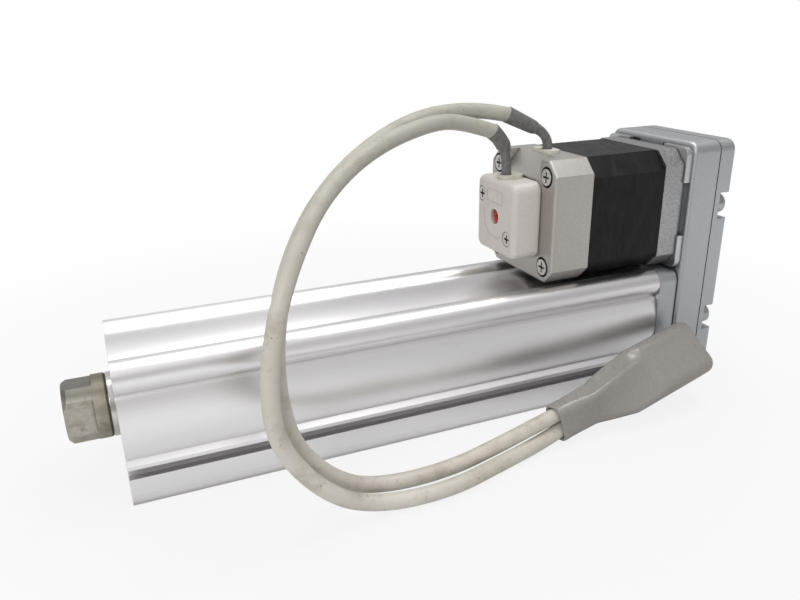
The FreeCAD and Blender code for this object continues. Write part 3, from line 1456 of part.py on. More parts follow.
boot_recess.Reversed = True
bind(boot_recess, {"Length": mouth_recess})
boot_frame = FreeCAD.Matrix(
    boot_axis.x, boot_side.x, boot_up.x, boot_mouth.x,
    boot_axis.y, boot_side.y, boot_up.y, boot_mouth.y,
    boot_axis.z, boot_side.z, boot_up.z, boot_mouth.z,
    0, 0, 0, 1,
)
boot.Placement = FreeCAD.Placement(boot_frame)
node(boot, "connector_boot")

# Rebuild, look for faults and write one file per node
doc.recompute()
for thing in doc.Objects:
    if "Invalid" in thing.State or "Error" in thing.State:
        raise RuntimeError("feature in error: " + thing.Name)
os.makedirs("parts", exist_ok=True)
for thing in nodes:
    shape = thing.Shape
    if shape.isNull() or not shape.isValid() or not shape.Solids:
        raise RuntimeError("bad shape: " + thing.Label)
    shape.exportStep("parts/" + thing.Label + ".step")
    print(thing.Label, len(shape.Solids), "solids", round(shape.Volume, 1), "cubic mm")
print("nodes", len(nodes))
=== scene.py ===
"""Looks of an electric cylinder: cables, finishes, details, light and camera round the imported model."""

import json
import math

import bmesh
import bpy
from mathutils import Matrix, Vector


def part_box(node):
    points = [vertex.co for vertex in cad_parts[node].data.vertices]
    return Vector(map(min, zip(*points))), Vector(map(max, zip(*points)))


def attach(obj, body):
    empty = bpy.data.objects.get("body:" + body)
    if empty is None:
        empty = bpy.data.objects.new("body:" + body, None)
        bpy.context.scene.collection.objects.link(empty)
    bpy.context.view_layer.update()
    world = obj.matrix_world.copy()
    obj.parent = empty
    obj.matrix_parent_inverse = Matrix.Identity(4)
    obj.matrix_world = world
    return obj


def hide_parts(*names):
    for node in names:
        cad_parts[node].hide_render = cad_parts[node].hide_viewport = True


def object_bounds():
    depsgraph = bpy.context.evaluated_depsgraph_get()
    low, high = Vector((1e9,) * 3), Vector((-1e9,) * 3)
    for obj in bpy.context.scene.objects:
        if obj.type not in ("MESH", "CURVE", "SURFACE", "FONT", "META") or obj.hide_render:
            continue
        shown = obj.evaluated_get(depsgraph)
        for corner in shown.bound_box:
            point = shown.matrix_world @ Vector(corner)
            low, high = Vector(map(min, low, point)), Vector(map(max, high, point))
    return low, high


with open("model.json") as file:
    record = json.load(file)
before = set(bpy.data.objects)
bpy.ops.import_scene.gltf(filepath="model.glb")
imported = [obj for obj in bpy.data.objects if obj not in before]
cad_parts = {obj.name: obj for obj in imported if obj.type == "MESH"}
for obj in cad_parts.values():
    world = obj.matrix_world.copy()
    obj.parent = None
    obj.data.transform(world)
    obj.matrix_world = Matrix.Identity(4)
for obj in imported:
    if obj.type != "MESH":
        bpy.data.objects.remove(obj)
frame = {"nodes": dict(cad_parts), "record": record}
cad_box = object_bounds()
nodes = frame["nodes"]
MM = 0.001


def metres(point):
    """A point given in millimetres."""
    return Vector(point) * MM


def even(value):
    """The same value three times, for a grey or for an even scale."""
    return (value, value, value)


# Camera at the photograph's place, for an image of 800 by 600
IMAGE_WIDTH = 800
SENSOR_WIDTH = 36
FOCAL_PIXELS = 750.8
MIDDLE_RIGHT = 7.5
MIDDLE_DOWN = 17.3
CAMERA_PLACE = (2.90, -224.34, 109.18)
YAW = math.radians(22.961)
PITCH = math.radians(21.878)
ROLL = math.radians(-0.959)
ahead = Vector((math.sin(YAW) * math.cos(PITCH), math.cos(YAW) * math.cos(PITCH), -math.sin(PITCH)))
level_right = Vector((math.cos(YAW), -math.sin(YAW), 0))
level_up = level_right.cross(ahead)
right = math.cos(ROLL) * level_right + math.sin(ROLL) * level_up
up = math.cos(ROLL) * level_up - math.sin(ROLL) * level_right
camera_data = bpy.data.cameras.new("camera")
camera_data.sensor_width = SENSOR_WIDTH
camera_data.lens = FOCAL_PIXELS / IMAGE_WIDTH * SENSOR_WIDTH
camera_data.shift_x = -MIDDLE_RIGHT / IMAGE_WIDTH
camera_data.shift_y = MIDDLE_DOWN / IMAGE_WIDTH
camera_data.clip_start = 0.01
camera_data.clip_end = 50
camera = bpy.data.objects.new("camera", camera_data)
turn = Matrix((right, up, -ahead)).transposed().to_4x4()
camera.matrix_world = Matrix.Translation(metres(CAMERA_PLACE)) @ turn
bpy.context.scene.collection.objects.link(camera)
bpy.context.scene.camera = camera


# Node helpers for the materials
def material(name, colour, metallic, roughness):
    """A new material with its shader's plain values set; returns it, its tree and its shader."""
    made = bpy.data.materials.new(name)
    made.use_nodes = True
    tree = made.node_tree
    shader = tree.nodes["Principled BSDF"]
    shader.inputs["Base Color"].default_value = (*colour, 1)
    shader.inputs["Metallic"].default_value = metallic
    shader.inputs["Roughness"].default_value = roughness
    return made, tree, shader


def stretched(tree, scale):
    """Object coordinates scaled along each axis."""
    coordinates = tree.nodes.new("ShaderNodeTexCoord")
    mapping = tree.nodes.new("ShaderNodeMapping")
    mapping.inputs["Scale"].default_value = scale
    tree.links.new(coordinates.outputs["Object"], mapping.inputs["Vector"])
    return mapping.outputs["Vector"]


def place_on_axes(tree):
    """The object coordinates as separate values for X, Y and Z."""
    made = tree.nodes.new("ShaderNodeSeparateXYZ")
    tree.links.new(stretched(tree, even(1)), made.inputs[0])
    return made.outputs


def noise(tree, scale, detail=3.0, rough=0.55):
    """A noise value in a space scaled along each axis."""
    made = tree.nodes.new("ShaderNodeTexNoise")
    made.inputs["Scale"].default_value = 1
    made.inputs["Detail"].default_value = detail
    made.inputs["Roughness"].default_value = rough
    tree.links.new(stretched(tree, scale), made.inputs["Vector"])
    return made.outputs["Fac"]


def ramp(tree, value, stops):
    """Colours along a value."""
    made = tree.nodes.new("ShaderNodeValToRGB")
    tree.links.new(value, made.inputs["Fac"])
    points = made.color_ramp.elements
    while len(points) < len(stops):
        points.new(0.5)
    for point, (place, colour) in zip(points, stops):
        point.position = place
        point.color = (*colour, 1)
    return made.outputs["Color"]


def two_tones(tree, value, dark, light):
    """A dark and a light colour over the usual range of a noise."""
    return ramp(tree, value, [(0.3, dark), (0.7, light)])


def spread(tree, value, low, high, from_low=0.3, from_high=0.7):
    """A value moved to another range."""
    made = tree.nodes.new("ShaderNodeMapRange")
    made.inputs["From Min"].default_value = from_low
    made.inputs["From Max"].default_value = from_high
    made.inputs["To Min"].default_value = low
    made.inputs["To Max"].default_value = high
    tree.links.new(value, made.inputs["Value"])
    return made.outputs["Result"]


def mixed(tree, share, first, second, way="MIX"):
    """Two colours mixed by a share, which is a socket or a number."""
    made = tree.nodes.new("ShaderNodeMix")
    made.data_type = "RGBA"
    made.blend_type = way
    if isinstance(share, float):
        made.inputs[0].default_value = share
    else:
        tree.links.new(share, made.inputs[0])
    for place, colour in ((6, first), (7, second)):
        if isinstance(colour, tuple):
            made.inputs[place].default_value = (*colour, 1)
        else:
            tree.links.new(colour, made.inputs[place])
    return made.outputs[2]


def raised(tree, shader, height, strength, distance, edge=0.0):
    """Fine relief from a height value, over edges rounded by a radius."""
    made = tree.nodes.new("ShaderNodeBump")
    made.inputs["Strength"].default_value = strength
    made.inputs["Distance"].default_value = distance
    tree.links.new(height, made.inputs["Height"])
    tree.links.new(made.outputs["Normal"], shader.inputs["Normal"])
    if edge:
        rounded = tree.nodes.new("ShaderNodeBevel")
        rounded.samples = 4
        rounded.inputs["Radius"].default_value = edge
        tree.links.new(rounded.outputs["Normal"], made.inputs["Normal"])


def corner_shaded(tree, colour, corner_shade, reach):
    """A colour that goes over to a darker one in corners and narrow places: painted shade."""
    corner = tree.nodes.new("ShaderNodeAmbientOcclusion")
    corner.samples = 6
    corner.inputs["Distance"].default_value = reach
    openness = spread(tree, corner.outputs["AO"], low=0, high=1, from_low=0.25, from_high=0.8)
    return mixed(tree, openness, corner_shade, colour)


def darker(colour, share):
    """A colour times a share."""
    return tuple(share * value for value in colour)


def grained_metal(name, dark, light, rough_low, rough_high, grain, relief, edge=0.0002):
    """Metal whose colour and roughness vary over a grain; the grain is in repeats for each metre."""
    made, tree, shader = material(name, colour=light, metallic=1, roughness=rough_high)
    fine = noise(tree, grain)
    broad = noise(tree, even(35), detail=2)
    colour = two_tones(tree, fine, dark, light)
    colour = mixed(tree, spread(tree, broad, low=0, high=0.35), colour, dark)
    # Painted shade: the colour darkens in corners and narrow places
    colour = corner_shaded(tree, colour, darker(dark, 0.3), reach=0.0015)
    tree.links.new(colour, shader.inputs["Base Color"])
    tree.links.new(spread(tree, fine, rough_low, rough_high), shader.inputs["Roughness"])
    raised(tree, shader, fine, relief, distance=0.0001, edge=edge)
    return made


def moulded_plastic(name, dark, light, rough, grain, relief, smudge, corner_shade=None):
    """Plastic with a fine moulded grain, faint smudges and perhaps painted shade in its corners."""
    made, tree, shader = material(name, colour=light, metallic=0, roughness=rough)
    fine = noise(tree, even(grain))
    broad = noise(tree, even(110), detail=5, rough=0.65)
    tone = two_tones(tree, fine, dark, light)
    share = spread(tree, broad, low=0, high=smudge, from_low=0.5, from_high=0.75)
    tone = mixed(tree, share, tone, darker(dark, 0.55))
    # Painted shade in corners, when a shade colour is given
    if corner_shade:
        tone = corner_shaded(tree, tone, corner_shade, reach=0.0025)
    tree.links.new(tone, shader.inputs["Base Color"])
    tree.links.new(spread(tree, broad, low=rough - 0.06, high=rough + 0.1), shader.inputs["Roughness"])
    raised(tree, shader, fine, relief, distance=0.00006)
    return made


# Clear anodised extrusion: fine lines along the body, faint bands, a few stains and painted shade in
# corners
def anodised_finish():
    """The body's finish."""
    dull_band = (0.76, 0.75, 0.755)
    stain = (0.56, 0.54, 0.525)
    corner_shade = (0.27, 0.25, 0.225)
    made, tree, shader = material("anodised_profile", colour=(0.82, 0.81, 0.82), metallic=1, roughness=0.3)
    lines = noise(tree, (9, 4200, 4200), detail=4, rough=0.6)
    bands = noise(tree, (3, 420, 420), detail=2)
    stains = noise(tree, (60, 110, 110), detail=6, rough=0.7)
    colour = two_tones(tree, lines, dark=(0.81, 0.80, 0.81), light=(0.84, 0.83, 0.84))
    colour = mixed(tree, spread(tree, bands, low=0, high=0.15), colour, dull_band)
    stained = spread(tree, stains, low=0, high=0.3, from_low=0.62, from_high=0.8)
    colour = mixed(tree, stained, colour, stain)
    # Painted shade: darker in corners and narrow places, such as the slots
    colour = corner_shaded(tree, colour, corner_shade, reach=0.003)
    tree.links.new(colour, shader.inputs["Base Color"])
    tree.links.new(spread(tree, lines, low=0.32, high=0.36), shader.inputs["Roughness"])
    raised(tree, shader, lines, strength=0.004, distance=0.0001, edge=0.00025)
    return made


# Black laminated stack: thin sheets across the motor's axis
def laminated_finish():
    """The stack's finish."""
    made, tree, shader = material(
        "black_laminations", colour=(0.008, 0.008, 0.009), metallic=0, roughness=0.42
    )
    wave = tree.nodes.new("ShaderNodeTexWave")
    wave.wave_type = "BANDS"
    wave.bands_direction = "X"
    wave.inputs["Scale"].default_value = 1
    wave.inputs["Distortion"].default_value = 0.25
    wave.inputs["Detail"].default_value = 1
    tree.links.new(stretched(tree, (320, 30, 30)), wave.inputs["Vector"])
    dust = noise(tree, (500, 160, 160), detail=4)
    colour = ramp(tree, dust, [(0.35, (0.005, 0.005, 0.006)), (0.8, (0.018, 0.018, 0.019))])
    tree.links.new(colour, shader.inputs["Base Color"])
    tree.links.new(spread(tree, dust, low=0.34, high=0.5), shader.inputs["Roughness"])
    shader.inputs["Specular IOR Level"].default_value = 0.18
    raised(tree, shader, wave.outputs["Fac"], strength=0.3, distance=0.00015)
    return made


# Cream sheath: greyer towards the top of the arch (painted shade), with brownish smudges and dark specks
def sheath_finish():
    """The cables' finish."""
    painted_arch_shade = (0.42, 0.41, 0.355)
    smudge_tone = (0.36, 0.31, 0.25)
    speck_tone = (0.17, 0.13, 0.10)
    made, tree, shader = material("cream_sheath", colour=(0.62, 0.59, 0.52), metallic=0, roughness=0.45)
    fine = noise(tree, even(900), detail=2)
    broad = noise(tree, even(45), detail=3)
    smudges = noise(tree, even(120), detail=6, rough=0.7)
    specks = noise(tree, even(650), detail=2)
    height = place_on_axes(tree)["Z"]
    colour = two_tones(tree, broad, dark=(0.56, 0.52, 0.455), light=(0.66, 0.62, 0.56))
    # Painted shade: greyer towards the top of the arch
    arch_shade_share = spread(tree, height, low=0, high=0.75, from_low=0.035, from_high=0.075)
    colour = mixed(tree, arch_shade_share, colour, painted_arch_shade)
    smudged = spread(tree, smudges, low=0, high=0.7, from_low=0.5, from_high=0.72)
    colour = mixed(tree, smudged, colour, smudge_tone)
    speckled = spread(tree, specks, low=0, high=0.7, from_low=0.68, from_high=0.78)
    colour = mixed(tree, speckled, colour, speck_tone)
    tree.links.new(colour, shader.inputs["Base Color"])
    tree.links.new(spread(tree, smudges, low=0.38, high=0.58), shader.inputs["Roughness"])
    raised(tree, shader, fine, strength=0.08, distance=0.0001)
    return made


# Nickel-plated rod end: a darker upper flat (painted shade), brownish by the joint, with stains and painted
# shade in corners
def rod_end_finish():
    """The rod end's finish."""
    painted_top_shade = (0.15, 0.147, 0.128)
    joint_tone = (0.25, 0.22, 0.15)
    stain = (0.22, 0.195, 0.15)
    corner_shade = (0.09, 0.08, 0.06)
    made, tree, shader = material("stained_nickel_painted_shade", colour=(0.45, 0.42, 0.37), metallic=1, roughness=0.42)
    fine = noise(tree, (500, 1100, 1100))
    stains = noise(tree, even(260), detail=5, rough=0.65)
    place = place_on_axes(tree)
    colour = two_tones(tree, fine, dark=(0.40, 0.375, 0.33), light=(0.50, 0.47, 0.415))
    # Painted shade: the upper flat is darker
    upper = spread(tree, place["Z"], low=0, high=0.8, from_low=0.0064, from_high=0.0078)
    colour = mixed(tree, upper, colour, painted_top_shade)
    joint = spread(tree, place["X"], low=0, high=0.6, from_low=-0.0075, from_high=-0.003)
    colour = mixed(tree, joint, colour, joint_tone)
    stained = spread(tree, stains, low=0, high=0.6, from_low=0.52, from_high=0.72)
    colour = mixed(tree, stained, colour, stain)
    # Painted shade in corners and narrow places
    colour = corner_shaded(tree, colour, corner_shade, reach=0.0015)
    tree.links.new(colour, shader.inputs["Base Color"])
    tree.links.new(spread(tree, stains, low=0.36, high=0.5), shader.inputs["Roughness"])
    raised(tree, shader, fine, strength=0.03, distance=0.0001, edge=0.0003)
    return made


# Finishes for the record's material slots
finishes = {
    "anodised": anodised_finish(),
    "die_cast": grained_metal(
        "fine_die_cast",
        dark=(0.42, 0.435, 0.45),
        light=(0.54, 0.555, 0.57),
        rough_low=0.40,
        rough_high=0.52,
        grain=even(2600),
        relief=0.15,
        edge=0.0004,
    ),
    "machined": grained_metal(
        "machined_aluminium",
        dark=(0.50, 0.50, 0.51),
        light=(0.66, 0.66, 0.66),
        rough_low=0.26,
        rough_high=0.42,
        grain=even(2200),
        relief=0.2,
    ),
    "motor_casting": grained_metal(
        "motor_casting",
        dark=(0.47, 0.445, 0.415),
        light=(0.57, 0.545, 0.515),
        rough_low=0.38,
        rough_high=0.50,
        grain=even(1700),
        relief=0.06,
        edge=0.0005,
    ),
    "black_stack": laminated_finish(),
    "bright_steel": grained_metal(
        "ground_steel",
        dark=(0.55, 0.54, 0.52),
        light=(0.68, 0.67, 0.65),
        rough_low=0.14,
        rough_high=0.26,
        grain=(60, 3200, 3200),
        relief=0.08,
    ),
    "spring_steel": grained_metal(
        "blackened_steel",
        dark=(0.07, 0.07, 0.07),
        light=(0.14, 0.13, 0.13),
        rough_low=0.32,
        rough_high=0.46,
        grain=even(1500),
        relief=0.15,
    ),
    "nickel": grained_metal(
        "nickel_plate",
        dark=(0.29, 0.265, 0.225),
        light=(0.39, 0.36, 0.315),
        rough_low=0.36,
        rough_high=0.46,
        grain=(500, 1100, 1100),
        relief=0.03,
        edge=0.0003,
    ),
    "dark_iron": grained_metal(
        "dull_iron",
        dark=(0.10, 0.10, 0.11),
        light=(0.20, 0.20, 0.21),
        rough_low=0.40,
        rough_high=0.55,
        grain=even(1300),
        relief=0.25,
    ),
    "bronze": grained_metal(
        "sintered_bronze",
        dark=(0.40, 0.29, 0.14),
        light=(0.58, 0.44, 0.24),
        rough_low=0.38,
        rough_high=0.52,
        grain=even(2400),
        relief=0.3,
    ),
    "black_rubber": moulded_plastic(
        "black_rubber",
        dark=even(0.014),
        light=even(0.026),
        rough=0.62,
        grain=1600,
        relief=0.2,
        smudge=0.2,
    ),
    "guide_plastic": moulded_plastic(
        "guide_plastic",
        dark=(0.12, 0.12, 0.13),
        light=(0.18, 0.18, 0.19),
        rough=0.5,
        grain=1200,
        relief=0.12,
        smudge=0.2,
    ),
    "dark_plastic": moulded_plastic(
        "dark_plastic",
        dark=(0.03, 0.03, 0.035),
        light=(0.05, 0.05, 0.06),
        rough=0.3,
        grain=1200,
        relief=0.05,
        smudge=0.2,
    ),
    "board": moulded_plastic(
        "board_lacquer",
        dark=(0.03, 0.14, 0.07),
        light=(0.05, 0.2, 0.1),
        rough=0.35,
        grain=700,
        relief=0.1,
        smudge=0.2,
    ),
    "cap_plastic": moulded_plastic(
        "cap_plastic",
        dark=(0.62, 0.575, 0.54),
        light=(0.68, 0.64, 0.605),
        rough=0.42,
        grain=1500,
        relief=0.1,
        smudge=0.12,
        # Painted shade in the cap's corners, its hole and round its screws
        corner_shade=(0.26, 0.17, 0.145),
    ),
    "cream_plastic": moulded_plastic(
        "cream_plastic",
        dark=(0.60, 0.57, 0.49),
        light=(0.68, 0.65, 0.57),
        rough=0.5,
        grain=1200,
        relief=0.1,
        smudge=0.3,
    ),
    "cable": sheath_finish(),
    "grey_sleeve": moulded_plastic(
        "grey_sleeve",
        dark=(0.11, 0.109, 0.107),
        light=(0.185, 0.183, 0.18),
        rough=0.5,
        grain=800,
        relief=0.3,
        smudge=0.3,
    ),
    "boot": moulded_plastic(
        "boot_plastic",
        dark=(0.285, 0.267, 0.247),
        light=(0.31, 0.292, 0.27),
        rough=0.24,
        grain=700,
        relief=0.02,
        smudge=0.05,
    ),
    "red_paint": moulded_plastic(
        "red_paint",
        dark=(0.42, 0.02, 0.02),
        light=(0.55, 0.035, 0.03),
        rough=0.35,
        grain=900,
        relief=0.08,
        smudge=0.25,
    ),
}

# Finishes of single nodes that differ from the rest of their slot
bright_screws = grained_metal(
    "bright_screws",
    dark=(0.56, 0.55, 0.52),
    light=(0.74, 0.73, 0.70),
    rough_low=0.24,
    rough_high=0.40,
    grain=even(1500),
    relief=0.1,
)
own_finishes = {
    "rod_socket": rod_end_finish(),
    "motor_front_casting": grained_metal(
        "speckled_casting",
        dark=(0.25, 0.253, 0.253),
        light=(0.54, 0.543, 0.54),
        rough_low=0.32,
        rough_high=0.48,
        grain=(1900, 1100, 1100),
        relief=0.12,
        edge=0.0004,
    ),
    "motor_screws": bright_screws,
    "cap_screws": bright_screws,
    "plate_screws": grained_metal(
        "zinc_screws",
        dark=(0.36, 0.37, 0.38),
        light=(0.50, 0.51, 0.52),
        rough_low=0.30,
        rough_high=0.44,
        grain=even(1500),
        relief=0.12,
    ),
}
slot_of = {row["node"]: row["material_slot"] for row in frame["record"]["subparts"]}
for name, thing in nodes.items():
    thing.data.materials.clear()
    thing.data.materials.append(own_finishes.get(name, finishes[slot_of[name]]))


def dress(piece, slot):
    """Give a new piece its finish and let it ride on the fixed body."""
    piece.data.materials.append(finishes[slot])
    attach(piece, "body")
    return piece


# Cables, on the routes of the source
def cable(name, points, radius):
    """A smooth round cord with these control points."""
    line = bpy.data.curves.new(name, "CURVE")
    line.dimensions = "3D"
    line.bevel_depth = radius
    line.bevel_resolution = 6
    line.resolution_u = 10
    line.use_fill_caps = True
    spline = line.splines.new("NURBS")
    spline.points.add(len(points) - 1)
    for place, point in zip(spline.points, points):
        place.co = (*metres(point), 1)
    spline.order_u = 3
    spline.use_endpoint_u = True
    piece = bpy.data.objects.new(name, line)
    bpy.context.scene.collection.objects.link(piece)
    return piece


CABLE_RADIUS = 2.5 * MM
ENCODER_CABLE_LENGTH = 0.2617
MOTOR_CABLE_LENGTH = 0.2611
encoder_points = [
    (130.6, -0.2, 72.65),
    (117.5, -3.4, 77.15),
    (103.2, -9.55, 78.75),
    (79.0, -22.0, 74.8),
    (60.0, -33.0, 65.4),
    (47.6, -43.0, 51.0),
    (39.5, -49.5, 34.0),
    (36.4, -52.8, 17.0),
    (38.2, -54.8, 2.6),
    (51.3, -55.4, -14.6),
    (66.5, -55.2, -21.3),
    (87.6, -56.2, -21.3),
    (107.6, -50.4, -21.3),
    (125.1, -45.4, -21.2),
    (136.85, -42.7, -19.04),
]
motor_points = [
    (137.4, 2.0, 77.5),
    (125.6, 2.9, 80.3),
    (101.2, -4.2, 80.2),
    (77.4, -16.8, 73.2),
    (59.4, -28.2, 62.2),
    (47.6, -37.6, 48.1),
    (41.6, -43.4, 32.1),
    (40.5, -45.4, 14.5),
    (43.6, -46.8, -1.5),
    (55.3, -47.0, -15.6),
    (69.5, -46.4, -21.3),
    (91.5, -46.6, -21.3),
    (110.6, -44.8, -18.2),
    (124.1, -43.3, -15.7),
    (135.75, -41.84, -13.72),
]


# Sleeves: thin and kinked round the lead, then wide round the start of the cable
def sleeve(name, points, radii):
    """A round sleeve whose radius in millimetres changes along these points."""
    piece = cable(name, points, MM)
    for place, radius in zip(piece.data.splines[0].points, radii):
        place.radius = radius
    return dress(piece, "grey_sleeve")


encoder_sleeve = sleeve(
    "encoder_shrink_sleeve",
    [
        (135.6, 0.0, 55.3),
        (135.9, 0.0, 58.6),
        (135.6, 0.0, 62.6),
        (135.0, 0.0, 65.7),
        (134.9, 0.0, 66.5),
        (134.5, 0.0, 67.6),
        (133.0, -0.1, 69.8),
        (131.5, -0.25, 71.4),
        (129.5, -0.45, 73.05),
    ],
    [1.75, 1.7, 1.65, 1.75, 2.0, 2.6, 2.55, 2.65, 2.8],
)
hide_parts("encoder_sleeve")
motor_sleeve = sleeve(
    "motor_shrink_sleeve",
    [
        (151.6, 0.0, 62.6),
        (152.2, 0.1, 65.6),
        (151.9, 0.3, 68.3),
        (150.4, 0.6, 70.7),
        (148.3, 0.9, 72.2),
        (147.6, 0.95, 72.5),
        (146.7, 1.0, 72.9),
        (143.4, 1.3, 74.5),
        (140.2, 1.6, 76.0),
        (136.6, 2.0, 77.7),
    ],
    [1.75, 1.7, 1.65, 1.65, 1.75, 1.95, 2.35, 2.5, 2.65, 2.8],
)
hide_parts("motor_sleeve")


# Mesh helpers
def add_piece(name, vertices, faces, smooth=True):
    """A new mesh object from vertices in metres and faces."""
    mesh = bpy.data.meshes.new(name)
    mesh.from_pydata(vertices, [], faces)
    mesh.validate()
    shape = bmesh.new()
    shape.from_mesh(mesh)
    bmesh.ops.recalc_face_normals(shape, faces=shape.faces)
    shape.to_mesh(mesh)
    shape.free()
    for face in mesh.polygons:
        face.use_smooth = smooth
    piece = bpy.data.objects.new(name, mesh)
    bpy.context.scene.collection.objects.link(piece)
    return piece


def rounded_outline(low_a, high_a, low_b, high_b, radius, steps=6):
    """Points round a rounded rectangle, each with its outward direction."""
    corners = (
        (high_a - radius, high_b - radius, 0),
        (low_a + radius, high_b - radius, 90),
        (low_a + radius, low_b + radius, 180),
        (high_a - radius, low_b + radius, 270),
    )
    found = []
    for middle_a, middle_b, start in corners:
        for step in range(steps + 1):
            angle = math.radians(start + 90 * step / steps)
            outward = (math.cos(angle), math.sin(angle))
            found.append((middle_a + radius * outward[0], middle_b + radius * outward[1], outward))
    return found


def flat_list(rings):
    """The points of all rings in one list."""
    return [point for ring in rings for point in ring]


def joined_rings(rings, closed_ends):
    """Faces between rings of equally many points that follow each other in one list of vertices."""
    count = len(rings[0])
    faces = []
    for level in range(len(rings) - 1):
        for place in range(count):
            following = (place + 1) % count
            first = level * count
            second = first + count
            faces.append((first + place, first + following, second + following, second + place))
    if closed_ends:
        faces.append(tuple(range(count)))
        last = (len(rings) - 1) * count
        faces.append(tuple(range(last, last + count)))
    return faces


# Connector boot, in millimetres: a soft neck that twists and flares into a flat body
boot_mouth = Vector((132.4, -42.8, -17.1))
boot_far = Vector((198.2, -33.8, -4.9))
boot_axis = (boot_far - boot_mouth).normalized()
boot_side = Vector((-0.28, 0.75, 0.60))
boot_side = (boot_side - boot_axis * boot_side.dot(boot_axis)).normalized()
boot_up = boot_axis.cross(boot_side)
BOOT_LENGTH = 67.5
BOOT_STEPS = 96
NECK_WIDTH = 12.8
NECK_HEIGHT = 8.1
MOUTH_CORNER = 3.0
CORNER_LOSS = 1.4
CORNER_START = 5.0
BODY_WIDTH = 21.0
BODY_HEIGHT = 9.6
BODY_CORNER = 4.0

# The flare grows early at its edges and below, and late on its upper face, up a short ramp
FLARE_START = 15.0
FLARE_END = 35.0
RAMP_START = 37.5
RAMP_END = 42.5
LATE_FROM = 0.15
LATE_OVER = 0.3
GROWTH_SOFT = 0.6

# Both ends slant across the boot, by one millimetre along for this many across
FLARE_SLANT = 2.6
RAMP_SLANT = 5

# Turns of the outline along the boot
TWIST_START = 2.0
TWIST_SOFT = 2.0
MOUTH_TURN = math.radians(41)
NECK_TURN = math.radians(55)
FLARE_TURN = math.radians(24)
BODY_TURN = math.radians(4)

# Places along the boot, each with the amount by which its outline is drawn in
MOUTH_RINGS = [(4.0, 1.7), (0.5, 1.7), (0.0, 1.3), (0.0, 0.7), (0.3, 0.15), (0.8, 0.0)]
RING_PITCH = 0.75
RING_COUNT = 81
END_RINGS = [(65.0, 0.05), (66.0, 0.5), (66.8, 1.3), (67.3, 2.4), (BOOT_LENGTH, 3.8)]
FILL_PASSES = 120
EASE_STEPS = 4


def reach(angle, width, height, radius):
    """How far a rounded rectangle reaches from its middle in a direction."""
    across = abs(math.cos(angle))
    over = abs(math.sin(angle))
    side = width / 2
    top = height / 2
    if over * side <= across * (top - radius):
        return side / across
    if across * top <= over * (side - radius):
        return top / over
    middle = Vector((side - radius, top - radius))
    nearest = middle.x * across + middle.y * over
    return nearest + math.sqrt(radius ** 2 - middle.length_squared + nearest ** 2)


def limited(value):
    """A value kept between nought and one."""
    return min(1, max(0, value))


def eased(place, start, end, soft):
    """The share reached between two places, with softened bends at both."""
    total = 0
    for step in range(-EASE_STEPS, EASE_STEPS + 1):
        total += limited((place + soft * step / EASE_STEPS - start) / (end - start))
    return total / (2 * EASE_STEPS + 1)


def fill_hollows(reaches):
    """Push an outline's points out to the chords between their neighbours, until it has no hollows."""
    narrow = 2 * math.cos(math.tau / len(reaches))
    for _ in range(FILL_PASSES):
        for place in range(len(reaches)):
            before = reaches[place - 1]
            after = reaches[(place + 1) % len(reaches)]
            reaches[place] = max(reaches[place], narrow * before * after / (before + after))


def boot_ring(along, smaller):
    """The boot's outline at a place along it, drawn in by an amount.

    The neck's corner runs on as a ridge over the flare.
    """
    turn = MOUTH_TURN + (NECK_TURN - MOUTH_TURN) * eased(along, TWIST_START, FLARE_START, TWIST_SOFT)
    turn += (FLARE_TURN - NECK_TURN) * eased(along, FLARE_START, FLARE_END, TWIST_SOFT)
    corner = MOUTH_CORNER - smaller / 4 - CORNER_LOSS * eased(along, CORNER_START, FLARE_START, TWIST_SOFT)
    body_size = (BODY_WIDTH - smaller, BODY_HEIGHT - smaller, BODY_CORNER - smaller / 4)
    neck_size = (NECK_WIDTH - smaller, NECK_HEIGHT - smaller, corner)
    angles = [math.tau * step / BOOT_STEPS for step in range(BOOT_STEPS)]
    reaches = []
    for angle in angles:
        body = reach(angle - BODY_TURN, *body_size)
        body_across = body * math.cos(angle - BODY_TURN)
        late = limited((math.sin(angle - BODY_TURN) - LATE_FROM) / LATE_OVER)
        early_end = FLARE_END + body_across / FLARE_SLANT
        late_end = RAMP_END - body_across / RAMP_SLANT
        start = FLARE_START + late * (RAMP_START - FLARE_START)
        end = (1 - late) * early_end + late * late_end
        share = eased(along, start, end, GROWTH_SOFT)
        neck = reach(angle - turn, *neck_size)
        reaches.append(neck + (body - neck) * share)
    fill_hollows(reaches)
    ring = []
    for angle, distance in zip(angles, reaches):
        out = boot_side * math.cos(angle) + boot_up * math.sin(angle)
        ring.append((boot_mouth + boot_axis * along + out * distance) * MM)
    return ring


boot_places = list(MOUTH_RINGS)
for step in range(1, RING_COUNT + 1):
    boot_places.append((MOUTH_RINGS[-1][0] + RING_PITCH * step, 0.0))
boot_places += END_RINGS
boot_rings = [boot_ring(along, smaller) for along, smaller in boot_places]
boot = add_piece("connector_boot_body", flat_list(boot_rings), joined_rings(boot_rings, True))
dress(boot, "boot")
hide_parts("connector_boot")

# The cables end in the boot
cable_rows = (
    ("encoder", encoder_points, ENCODER_CABLE_LENGTH),
    ("motor", motor_points, MOTOR_CABLE_LENGTH),
)
for name, points, length in cable_rows:
    piece = dress(cable(name + "_cable_sheath", points, CABLE_RADIUS), "cable")
    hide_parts(name + "_cable")


# Dark seams: rings that stand a little proud of a rounded outline
SEAM_DEPTH = 0.3
PLATE_CORNER = 4.0
CAP_CORNER = 3.2


